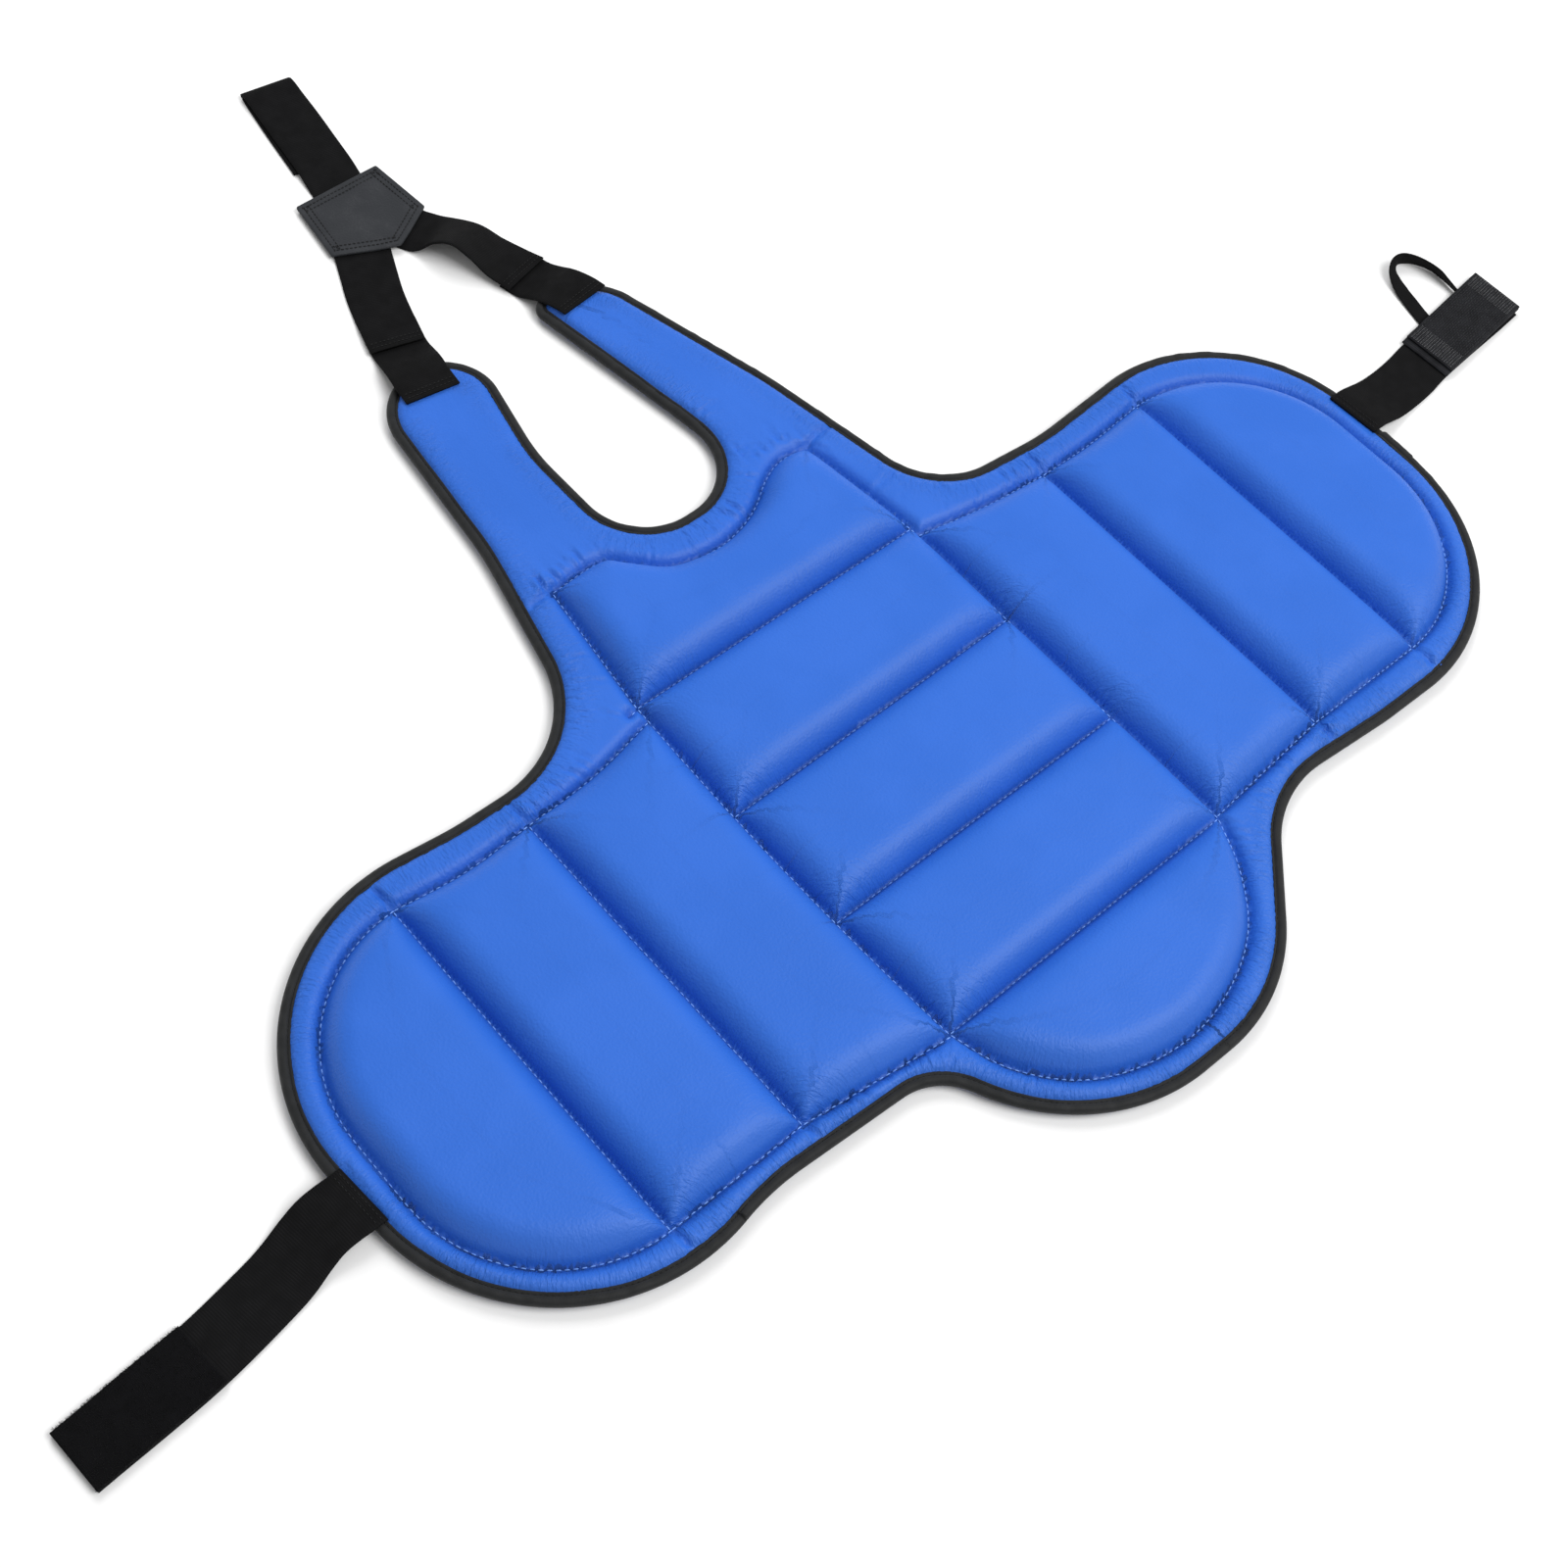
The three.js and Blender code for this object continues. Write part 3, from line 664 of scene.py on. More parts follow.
RIGHT_HALF = (
    Corner("bottom lobe", 58.5, -292, 124),
    Corner("waist notch", 160, -191.5, 83),
    Corner("wing lower side", 257, -199.5, 200),
    Corner("wing end lower", 436, -204, 136),
    Corner("wing end upper", 442, 114, 117),
    Corner("wing upper side", 240, 99.5, 194),
    Corner("armhole", 151, 107, 53),
    Corner("shoulder side", 126.5, 244.5, 250),
    Corner("tip outer", 87, 392.5, 44),
    Corner("tip inner", 33, 388.5, 12),
    Corner("neck side", 53, 259, 160),
    Corner("neck base", 61.5, 190, 46),
)
LEFT_HALF = (
    Corner("bottom lobe", -93, -290, 128),
    Corner("waist notch", -139, -195.5, 39),
    Corner("wing lower side", -256, -188.5, 167),
    Corner("wing end lower", -424, -223.5, 129),
    Corner("wing end upper", -441.5, 115.5, 130),
    Corner("wing upper side", -252.5, 95, 201),
    Corner("armhole", -154, 94.5, 81),
    Corner("shoulder side", -118.5, 242, 253),
    Corner("tip outer", -101, 387, 47),
    Corner("tip inner", -16, 391.5, 37),
    Corner("neck side", -40, 285, 146),
    Corner("neck base", -39.5, 188.5, 43),
)


@dataclass
class Outline:
    """The panel's edge as rounded corners, counter-clockwise."""

    corners: tuple[Corner, ...] = RIGHT_HALF + LEFT_HALF[::-1]
    step: float = 1.9

    @cached_property
    def line(self) -> np.ndarray:
        """The closed edge at an even step, without its first point again at the end."""
        rows = []
        for k, corner in enumerate(self.corners):
            before, after = self.corners[k - 1], self.corners[(k + 1) % len(self.corners)]
            rows.append(self.arc(before, corner, after))
        loop = np.vstack(rows)
        return evenly(np.vstack([loop, loop[:1]]), self.step)[:-1]

    @staticmethod
    def arc(before: Corner, corner: Corner, after: Corner) -> np.ndarray:
        """The rounded corner as points a degree or so apart."""
        here = np.array([corner.x, corner.y])
        into = unit(here - (before.x, before.y))
        out = unit(np.array([after.x, after.y]) - here)
        turn = math.atan2(into[0] * out[1] - into[1] * out[0], into @ out)
        left = np.array([-into[1], into[0]])
        centre = here - into * corner.round * math.tan(abs(turn) / 2)
        centre = centre + left * corner.round * math.copysign(1, turn)
        angles = turn * np.linspace(0, 1, 3 + int(abs(math.degrees(turn))))[:, None]
        spoke = -left * corner.round * math.copysign(1, turn)
        aside = np.array([-spoke[1], spoke[0]])
        return centre + np.cos(angles) * spoke + np.sin(angles) * aside

    @cached_property
    def inward(self) -> np.ndarray:
        """The direction into the panel at each point of the edge."""
        ahead = unit(np.roll(self.line, -1, axis=0) - np.roll(self.line, 1, axis=0))
        return np.stack([-ahead[:, 1], ahead[:, 0]], axis=1)

    def inset(self, distance: float) -> np.ndarray:
        """The edge moved into the panel."""
        return self.line + self.inward * distance

    def stretch(self, corner: Corner, reach: float) -> np.ndarray:
        """Numbers of the edge points that are within reach of a corner."""
        return np.nonzero(np.hypot(*(self.line - (corner.x, corner.y)).T) < reach)[0]


@dataclass(frozen=True)
class Cell:
    """A stuffed cell: its sides in order round it, each one smooth line."""

    name: str
    sides: tuple[np.ndarray, ...]

    @property
    def loop(self) -> np.ndarray:
        """The sides joined to one closed line."""
        return np.vstack([side[:-1] for side in self.sides])

    def reach(self, places: np.ndarray, sharpness: float = 2.3) -> np.ndarray:
        """Distance of places from the sides, eased where two sides are equally near."""
        near = [np.maximum(segment_distance(places, side), 1e-3) for side in self.sides]
        return sum(distance ** -sharpness for distance in near) ** (-1 / sharpness)


@dataclass(frozen=True)
class Wing:
    """The seams of one wing, as distances from the panel's middle line; side is 1 on the right."""

    side: int
    seams: tuple[float, float]
    tops: tuple[float, float, float]
    bottoms: tuple[float, float, float]
    sag: float
    end: float
    end_round: float


RIGHT_WING = Wing(1, (217.5, 313.5), (87, 73.5, 78), (-180, -172, -173), 2.0, 416, 103)
LEFT_WING = Wing(-1, (217.5, 312.5), (82.5, 69.5, 72), (-184, -171, -171.8), 3.5, 411, 100)


@dataclass
class Quilting:
    """The seams that part the panel into eleven stuffed cells.

    A row is given by its heights at the left and right columns. The left column bows outwards.
    """

    column: float = 115.0
    left_bow: float = 4.0
    bow_middle: float = -50.0
    bow_reach: float = 140.0
    rows: Pairs = ((-182.5, -181.5), (-90.0, -89.5), (0.0, 4.0), (94.0, 94.0))
    wings: tuple[Wing, Wing] = (RIGHT_WING, LEFT_WING)
    chest_top: Pairs = (
        (104, 183.5), (93, 186.5), (79.5, 186), (64, 179.5), (46, 168), (29, 161), (7, 157),
        (-15, 159), (-33, 165), (-50, 181), (-62, 192), (-102, 192),
    )
    lobe_edge: Pairs = (
        (-104, -217), (-77, -249), (-43, -265.5), (0, -271), (41, -262), (73.5, -244), (99.5, -213),
    )
    tucks: tuple[Pairs, ...] = (
        ((217.5, 70), (219.5, 97)),
        ((313.5, 75), (315.5, 98)),
        ((217.5, -169), (215.5, -187)),
        ((313.5, -170), (311.5, -191)),
        ((102, 184), (128, 189)),
        ((-217.5, 67), (-219.5, 93)),
        ((-312.5, 69), (-315, 96)),
        ((-217.5, -168), (-215.5, -186)),
        ((-312.5, -166), (-310.5, -190)),
        ((-99, 192), (-127, 190)),
    )
    run_on: Pairs = ((-115, 93.5), (-123, 92))

    @cached_property
    def cells(self) -> tuple[Cell, ...]:
        """All the stuffed cells."""
        wings = [cell for wing in self.wings for cell in self.wing_cells(wing)]
        return (*self.belly_cells(), self.chest_cell(), self.lobe_cell(), *wings)

    def column_line(self, side: int, low: float, high: float) -> np.ndarray:
        """A stretch of the left or right column seam from one height to another."""
        y = np.linspace(low, high, 2 + int(abs(high - low) / 2))
        bow = self.left_bow if side < 0 else 0.0
        out = self.column + bow * np.maximum(0, 1 - ((y - self.bow_middle) / self.bow_reach) ** 2)
        return np.column_stack([side * out, y])

    def row_line(self, row: tuple[float, float]) -> np.ndarray:
        """A row seam from the left column to the right one."""
        left, right = (self.column_line(s, y, y)[0] for s, y in zip((-1, 1), row))
        return curve((left, right))

    def belly_cells(self) -> list[Cell]:
        """The three rows over the belly."""
        out = []
        for k, (low, high) in enumerate(zip(self.rows[:-1], self.rows[1:])):
            sides = (
                self.row_line(low), self.column_line(1, low[1], high[1]),
                self.row_line(high)[::-1], self.column_line(-1, high[0], low[0]),
            )
            out.append(Cell(f"belly {k}", sides))
        return out

    def chest_cell(self) -> Cell:
        """The cell under the neck."""
        foot = self.row_line(self.rows[-1])
        top = curve(self.chest_top)
        return Cell("chest", (foot, curve((foot[-1], top[0])), top, curve((top[-1], foot[0]))))

    def lobe_cell(self) -> Cell:
        """The cell at the bottom."""
        head = self.row_line(self.rows[0])
        return Cell("lobe", (curve((head[0], *self.lobe_edge, head[-1])), head[::-1]))

    def wing_cells(self, wing: Wing) -> list[Cell]:
        """Two four-sided cells that sag between their seams, and a round-ended one."""
        inner = [self.column_line(wing.side, wing.bottoms[0], wing.tops[0])]
        for seam, low, high in zip(wing.seams, wing.bottoms[1:], wing.tops[1:]):
            inner.append(curve(((wing.side * seam, low), (wing.side * seam, high))))
        out = []
        for k, (near, far) in enumerate(zip(inner[:-1], inner[1:])):
            under = (near[0] + far[0]) / 2
            over = (near[-1] + far[-1]) / 2 - (0, wing.sag)
            foot, head = curve((near[0], under, far[0])), curve((far[-1], over, near[-1]))
            out.append(Cell(f"wing {k}", (foot, far, head, near[::-1])))
        out.append(Cell("wing end", (self.wing_end_edge(wing), inner[-1][::-1])))
        return out

    @staticmethod
    def wing_end_edge(wing: Wing) -> np.ndarray:
        """The round end of a wing, from its last seam's foot to its head."""
        x, low, high = wing.seams[-1], wing.bottoms[-1], wing.tops[-1]
        quarter = np.radians(np.linspace(0, 90, 31))
        turn = wing.end_round * np.stack([np.sin(quarter), np.cos(quarter)], axis=1)
        centre = wing.end - wing.end_round
        lower = turn * (1, -1) + (centre, low + wing.end_round)
        upper = (turn + (centre, high - wing.end_round))[::-1]
        return evenly(np.vstack([[(x, low)], lower, upper, [(x, high)]]) * (wing.side, 1), 2.0)

    @cached_property
    def seams(self) -> list[np.ndarray]:
        """Each sewn seam once; the wings' first seams are the columns."""
        found: dict[tuple, np.ndarray] = {}
        for cell in self.cells:
            for k, side in enumerate(cell.sides):
                if cell.name == "wing 0" and k == 3:
                    continue
                ends = sorted((tuple(np.round(side[0])), tuple(np.round(side[-1]))))
                found.setdefault((*ends, tuple(np.round(side.mean(axis=0)))), side)
        return [*found.values(), curve(self.run_on)]

    @cached_property
    def junctions(self) -> np.ndarray:
        """Where seams meet."""
        return np.vstack([[seam[0], seam[-1]] for seam in self.seams])

    @cached_property
    def border_tucks(self) -> list[np.ndarray]:
        """The short folds through the border."""
        return [curve(pair) for pair in self.tucks]


# The padded panel


@dataclass(frozen=True)
class Crease:
    """A short fold in the leather."""

    start: np.ndarray
    end: np.ndarray
    depth: float
    width: float
    ridge: float = 0.55
    ridge_offset: float = 1.9

    def height(self, places: np.ndarray) -> np.ndarray:
        """How far each place moves: a valley between two low ridges that fade at its ends."""
        run = self.end - self.start
        length = float(np.hypot(*run))
        ahead = run / length
        offset = places - self.start
        along = offset @ ahead / length
        aside = np.abs(offset @ np.array([-ahead[1], ahead[0]])) / self.width
        fade = np.clip(along, 0, 1) * np.clip(1 - along, 0, 1) * 4
        ridges = self.ridge * np.exp(-((aside - self.ridge_offset) ** 2))
        return self.depth * np.sqrt(fade) * (-np.exp(-aside ** 2) + ridges)


@dataclass(frozen=True)
class Folds:
    """Small folds across a line; a size is the width along the line and the reach away from it."""

    size: tuple[float, float]
    finer_size: tuple[float, float]
    seeds: tuple[Seed, Seed]
    depth: float
    mean: float
    finer_share: float

    def height(self, near: Nearest) -> np.ndarray:
        """How deep the folds are at each place, about 0."""
        width, reach = self.size
        fold = np.abs(lattice_noise(near.along / width, near.distance / reach, self.seeds[0]))
        width, reach = self.finer_size
        finer = lattice_noise(near.along / width, near.distance / reach, self.seeds[1])
        return (1 - fold) ** 2 * self.depth - self.mean + self.finer_share * finer


CELL_FOLDS = Folds(
    (4.4, 15), (2.6, 9), (Seed.CELL_FOLDS, Seed.CELL_FOLDS_FINER),
    depth=1.3, mean=0.5, finer_share=0.25,
)
BORDER_FOLDS = Folds(
    (4.0, 13), (2.4, 8), (Seed.BORDER_FOLDS, Seed.BORDER_FOLDS_FINER),
    depth=1.2, mean=0.45, finer_share=0.3,
)
HOLLOW_CREASES = {"armhole": 26, "waist notch": 16, "neck base": 12}
ROW_RISE = 0.866
BORDER_APART = 4000
ARC_AHEAD = (0.61, 0.79)
ARC_ASIDE = (0.79, -0.61)


@dataclass
class PaddedPanel:
    """The quilted pad: front cover, filling and back cover in one closed mesh."""

    outline: Outline
    quilting: Quilting
    finish: QuiltLeather = QuiltLeather()
    thread: Filament = SEAM_THREAD
    seam_z: float = 6.0
    seam_half: float = 0.8
    # Width of the shade painted into the seam grooves.
    groove_shade_width: float = 1.6
    border_z: float = 12.2
    overshoot: float = 0.4
    meet: float = 0.7
    plump: float = 1.2
    plump_start: float = 20.0
    plump_reach: float = 18.0
    cell_z: float = 24.0
    roll: float = 20.0
    crown: float = 1.5
    crown_reach: float = 45.0
    slack: float = 0.55
    slack_sizes: tuple[float, float] = (62.0, 27.0)
    gather_reach: float = 19.0
    crease_reach: float = 32.0
    edge_inset: float = 3.0
    edge_top_z: float = 7.3
    edge_low_z: float = 4.7
    tape_inset: float = 7.0
    tape_roll: float = 10.5
    seam_roll: float = 9.0
    pad_top_z: float = 12.05
    tab_foot_y: float = 345.0
    strap_feet: Pairs = ((-432.5, -55.5), (436.0, -19.5))
    strap_foot_z: float = 9.1
    strap_foot_half: tuple[float, float] = (8, 19)
    strap_foot_slope: float = 0.75
    tuck_depth: float = 3.4
    tuck_width: float = 2.6
    fine_step: float = 1.75
    fine_reach: float = 13.0
    back_step: float = 8.0
    back_rings: tuple[float, ...] = (5.5, 8.5, 12.0, 16.0, 21.0)
    back_groove: float = 1.6
    back_groove_width: float = 4.0
    back_roll: float = 12.0
    stitch_lift: float = 0.25
    rng: np.random.Generator = field(init=False)

    def __post_init__(self) -> None:
        """Starts the seeded draws and the indexes of the lines."""
        self.rng = np.random.default_rng(Seed.PANEL_PLACES)
        self.seam_index = LineIndex(self.quilting.seams)
        self.tuck_index = LineIndex(self.quilting.border_tucks)
        edge = np.vstack([self.outline.line, self.outline.line[:1]])
        self.edge_index = LineIndex([edge])

    def build(self) -> None:
        rim = self.outline.inset(self.edge_inset)
        seams = self.quilting.seams
        front, front_faces, front_rim = self.meshed(rim, self.front_places(rim), seams)
        z, carried = self.front_heights(front)
        back, back_faces, back_rim = self.meshed(rim, self.back_places(rim), [])
        back_z = self.back_heights(back)
        z[front_rim] = self.edge_top_z
        back_z[back_rim] = self.edge_low_z
        points = np.vstack([np.column_stack([front, z]), np.column_stack([back, back_z])])
        back_rim = back_rim + len(front)
        faces = front_faces + [[c + len(front) for c in face[::-1]] for face in back_faces]
        ahead = np.roll(np.arange(len(rim)), -1)
        faces += np.stack([front_rim, back_rim, back_rim[ahead], front_rim[ahead]], axis=1).tolist()
        piece = mesh_piece("quilted_panel", points, faces, self.finish.material())
        for name, values in carried.items():
            carry(piece, name, np.concatenate([values, np.zeros((len(back), *values.shape[1:]))]))
        dress(piece, Slot.PANEL, "body_panel")
        self.stitch()

    def stitch(self) -> None:
        """Makes the light stitches along the seams."""
        z = self.seam_z + self.stitch_lift
        lines = [np.column_stack([seam, np.full(len(seam), z)]) for seam in self.quilting.seams]
        piece = SEAM_STITCHES.piece("seam_stitches", lines, self.thread.material())
        dress(piece, Slot.PANEL)

    def meshed(self, rim: np.ndarray, places: np.ndarray, seams: Sequence[np.ndarray]
               ) -> tuple[np.ndarray, list[list[int]], np.ndarray]:
        """Joins scattered places to triangles inside the rim.

        Args:
            rim: the closed edge.
            places: the places inside it.
            seams: lines that edges have to follow.

        Returns:
            The corners, the faces seen from above, and the rim's corner numbers.
        """
        runs = [evenly(seam, self.fine_step) for seam in seams]
        points = np.vstack([rim, *runs, places])
        edges = [(k, (k + 1) % len(rim)) for k in range(len(rim))]
        first = len(rim)
        for run in runs:
            edges += [(first + k, first + k + 1) for k in range(len(run) - 1)]
            first += len(run)
        made = delaunay_2d_cdt([Vector(p) for p in points], edges, [], 1, 1e-4)
        corners = np.array([tuple(v) for v in made[0]])
        numbers = np.zeros(len(rim), int)
        for k, sources in enumerate(made[3]):
            for source in sources:
                if source < len(rim):
                    numbers[source] = k
        return corners, [list(face) for face in made[2]], numbers

    def hexagonal(self, step: float) -> tuple[np.ndarray, np.ndarray]:
        """Places in rows over the panel's box, and which of them are at twice the step."""
        low, high = self.outline.line.min(axis=0), self.outline.line.max(axis=0)
        rise = step * ROW_RISE
        rows = np.arange(int((high[1] - low[1]) / rise) + 1)
        columns = np.arange(int((high[0] - low[0]) / step) + 1)
        row, column = (a.ravel() for a in np.meshgrid(rows, columns, indexing="ij"))
        x = low[0] + step * (column + 0.5 * (row % 2))
        places = np.stack([x, low[1] + rise * row], axis=1)
        sparse = (row % 2 == 0) & ((column - (row // 2) % 2) % 2 == 0)
        return places, sparse

    def front_places(self, rim: np.ndarray) -> np.ndarray:
        """Places for the front cover: close beside seams and edges, wider on the crowns."""
        places, sparse = self.hexagonal(self.fine_step)
        inside = holds(rim, places)
        places, sparse = places[inside], sparse[inside]
        seam = self.seam_index.nearest(places).distance
        edge = self.edge_index.nearest(places).distance - self.edge_inset
        near = np.minimum(seam, edge)
        clear = (seam > 0.55 * self.fine_step) & (edge > 0.5 * self.fine_step)
        keep = clear & ((near < self.fine_reach) | sparse)
        places = places[keep]
        return places + self.rng.uniform(-0.16, 0.16, places.shape) * self.fine_step

    def back_places(self, rim: np.ndarray) -> np.ndarray:
        """Places for the back cover: wide, with rows along the grooves and the rolled edge."""
        seams = np.vstack([evenly(seam, 4.0) for seam in self.quilting.seams])
        aside = np.vstack([seams + offset for offset in ((3, 3), (-3, -3), (3, -3), (-3, 3))])
        rings = [self.outline.inset(d)[k % 2::2] for k, d in enumerate(self.back_rings)]
        rings = np.vstack(rings)
        wide, _ = self.hexagonal(self.back_step)
        crowded = KDTree(len(seams) + len(rings))
        for k, (x, y) in enumerate(np.vstack([seams, rings])):
            crowded.insert((x, y, 0), k)
        crowded.balance()
        wide = np.array([p for p in wide if crowded.find((*p, 0))[2] > 5.0])
        places = np.vstack([seams, aside, rings, wide])
        places = places[holds(self.outline.inset(self.edge_inset + 1.5), places)]
        places = np.unique(np.round(places, 2), axis=0)
        return places + self.rng.uniform(-0.2, 0.2, places.shape)

    def back_heights(self, places: np.ndarray) -> np.ndarray:
        """Heights of the back cover: flat on the floor, with shallow grooves and a rolled edge."""
        seam = self.seam_index.nearest(places).distance
        edge = self.edge_index.nearest(places).distance
        groove = self.back_groove * np.exp(-((seam / self.back_groove_width) ** 2))
        rise = self.edge_low_z * (1 - quarter_round((edge - self.edge_inset) / self.back_roll))
        return np.maximum(groove, rise)

    def front_heights(self, places: np.ndarray) -> tuple[np.ndarray, dict[str, np.ndarray]]:
        """Shapes the front cover.

        Args:
            places: its corners seen from above.

        Returns:
            Heights, and what the corners carry: how crumpled the leather is, its flow along and
            away from seams, the arcs of folds where seams meet, and how deep in a seam it lies,
            which sets the shade painted into the grooves.
        """
        seam = self.seam_index.nearest(places)
        edge = self.edge_index.nearest(places)
        arcs = self.arcs(places, seam)
        corner = np.min([np.hypot(*(places - j).T) for j in self.quilting.junctions], axis=0)
        gathered = np.exp(-corner / self.gather_reach)
        z = self.border_heights(places, seam, edge)
        in_cell = self.stuff_cells(places, seam, z)
        z += (self.cell_puckers(seam, gathered) + self.arc_folds(arcs, seam)) * in_cell
        z += self.border_wrinkles(seam, edge, gathered) * ~in_cell
        for crease in self.creases():
            offset = np.abs(places - (crease.start + crease.end) / 2)
            near = np.all(offset < self.crease_reach, axis=1) & ~in_cell
            z[near] += crease.height(places[near])
        z = np.where(edge.distance < self.tape_inset, np.minimum(z, self.edge_top_z), z)
        z = np.where(seam.distance < self.seam_half, self.seam_z, np.maximum(z, self.seam_z))
        arcs[:, 2] *= in_cell
        away = np.where(in_cell, seam.distance, edge.distance)
        along = np.where(in_cell, seam.along, edge.along + BORDER_APART)
        return z, {
            "crumple": self.crumple(places, seam, edge, gathered, in_cell),
            "flow": np.column_stack([along, away, np.zeros(len(places))]),
            "arcs": arcs,
            # Painted shade: how near the seam groove each corner lies, which darkens its colour.
            "valley": np.exp(-((seam.distance / self.groove_shade_width) ** 2)),
        }

    def stuff_cells(self, places: np.ndarray, seam: Nearest, z: np.ndarray) -> np.ndarray:
        """Raises the stuffed cells, each a little uneven.

        Args:
            places: the front cover's corners seen from above.
            seam: their nearest seams.
            z: their heights, which change inside the cells.

        Returns:
            Which corners are in a cell.
        """
        in_cell = np.zeros(len(places), bool)
        for cell in self.quilting.cells:
            inside = holds(cell.loop, places)
            reach = cell.reach(places[inside])
            swell = 1 - np.exp(-reach / self.crown_reach)
            z[inside] = self.seam_z + (self.cell_z - self.seam_z) * pad_rise(reach, self.roll)
            z[inside] += self.crown * swell
            in_cell |= inside
        x, y = places.T
        wide, finer = self.slack_sizes
        slack = lattice_noise(x / wide, y / wide, Seed.CELL_SLACK)
        slack = slack + 0.5 * lattice_noise(x / finer, y / finer, Seed.CELL_SLACK_FINER)
        z += self.slack * slack * np.clip((seam.distance - 4) / 25, 0, 1) * in_cell
        return in_cell

    def crumple(self, places: np.ndarray, seam: Nearest, edge: Nearest, gathered: np.ndarray,
                in_cell: np.ndarray) -> np.ndarray:
        """How crumpled the leather is: beside the seams, and in patches over the border."""
        x, y = places.T
        patch = np.clip(0.45 + lattice_noise(x / 24, y / 24, Seed.CRUMPLE_PATCHES), 0, 1)
        sides = np.exp(-seam.distance / np.where(in_cell, 9, 7))
        border = (0.70 + 0.75 * patch + 0.5 * gathered) * ~in_cell
        under_tape = self.tape_inset - self.edge_inset
        bare = np.clip((edge.distance - self.edge_inset) / under_tape, 0, 1)
        amount = (0.05 + patch * sides * 0.9 + border) * bare
        return amount * np.clip(2.2 - edge.distance / 14 + in_cell * 50, 0, 1)

    def arcs(self, places: np.ndarray, seam: Nearest) -> np.ndarray:
        """Way off the nearest meeting of seams, way across it, and how gathered it is there."""
        offsets = places[:, None] - self.quilting.junctions[None]
        reach = np.hypot(offsets[..., 0], offsets[..., 1])
        nearest = np.argmin(reach, axis=1)
        rows = np.arange(len(places))
        offset, reach = offsets[rows, nearest], reach[rows, nearest]
        off, across = offset @ np.array(ARC_AHEAD), offset @ np.array(ARC_ASIDE)
        facing = off / np.maximum(reach, 1e-6)
        amount = 1.9 * np.exp(-((reach / 36) ** 2)) * (0.25 + 0.75 * np.exp(-seam.distance / 10))
        amount *= np.clip(0.45 + 0.65 * facing, 0.15, 1)
        return np.column_stack([off + 0.012 * across ** 2, across, amount])

    def arc_folds(self, arcs: np.ndarray, seam: Nearest) -> np.ndarray:
        """Folds in arcs round the places where seams meet."""
        off, across, amount = arcs.T
        fold = np.abs(lattice_noise(off / 3.4, across / 14, Seed.ARC_FOLDS))
        clear = np.clip((seam.distance - self.seam_half) / 3, 0, 1)
        return -0.40 * amount * (1 - fold) ** 2 * clear

    def border_heights(self, places: np.ndarray, seam: Nearest, edge: Nearest) -> np.ndarray:
        """Heights of the border and the shoulder pads between the seams and the tape."""
        rise = self.border_z - self.seam_z
        from_seam = pad_rise(seam.distance, self.seam_roll)
        from_seam = self.seam_z + (rise + self.overshoot) * from_seam
        lift = self.border_z - self.edge_top_z
        past_tape = edge.distance - self.tape_inset
        from_tape = quarter_round(past_tape / self.tape_roll)
        from_tape = self.edge_top_z + (lift + self.overshoot) * from_tape
        z = soft_least(from_seam, from_tape, self.meet)
        deep = np.maximum(edge.distance - self.plump_start, 0)
        plump = self.plump * (1 - np.exp(-deep / self.plump_reach))
        z += plump * np.clip(seam.distance / 15, 0, 1)
        tuck = self.tuck_index.nearest(places).distance
        groove = self.tuck_depth * np.exp(-((tuck / self.tuck_width) ** 2))
        z -= groove * np.clip(past_tape / 4, 0, 1)
        under_tab = places[:, 1] > self.tab_foot_y
        z = np.where(under_tab, np.minimum(z, self.pad_top_z), z)
        for x, y in self.strap_feet:
            outside = np.maximum(np.abs(places - (x, y)) - self.strap_foot_half, 0)
            slope = self.strap_foot_slope * np.hypot(*outside.T)
            z = np.minimum(z, self.strap_foot_z + slope)
        return z

    def cell_puckers(self, seam: Nearest, gathered: np.ndarray) -> np.ndarray:
        """Small folds across the seams on the cells' sides, stronger where seams meet."""
        patch = lattice_noise(seam.along / 46, seam.distance / 60, Seed.CELL_PATCHES)
        patch = np.clip(patch * 1.6, 0, 1)
        amount = 0.10 + 0.40 * gathered + 0.32 * patch
        clear = np.clip((seam.distance - self.seam_half) / 2.5, 0, 1)
        fade = np.exp(-seam.distance / 11) * clear
        return -amount * fade * CELL_FOLDS.height(seam)

    def border_wrinkles(self, seam: Nearest, edge: Nearest, gathered: np.ndarray) -> np.ndarray:
        """Patchy folds across the border, from the tape to the seams."""
        patch = lattice_noise(edge.along / 38, edge.distance / 50, Seed.BORDER_PATCHES)
        patch = np.clip(0.35 + patch, 0.1, 1)
        near = 0.35 + 0.65 * np.exp(-seam.distance / 10)
        amount = (0.42 * patch * near + 0.45 * gathered) * np.clip(2.1 - edge.distance / 15, 0, 1)
        clear = np.clip((seam.distance - self.seam_half) / 2.0, 0, 1)
        return -amount * clear * BORDER_FOLDS.height(edge)

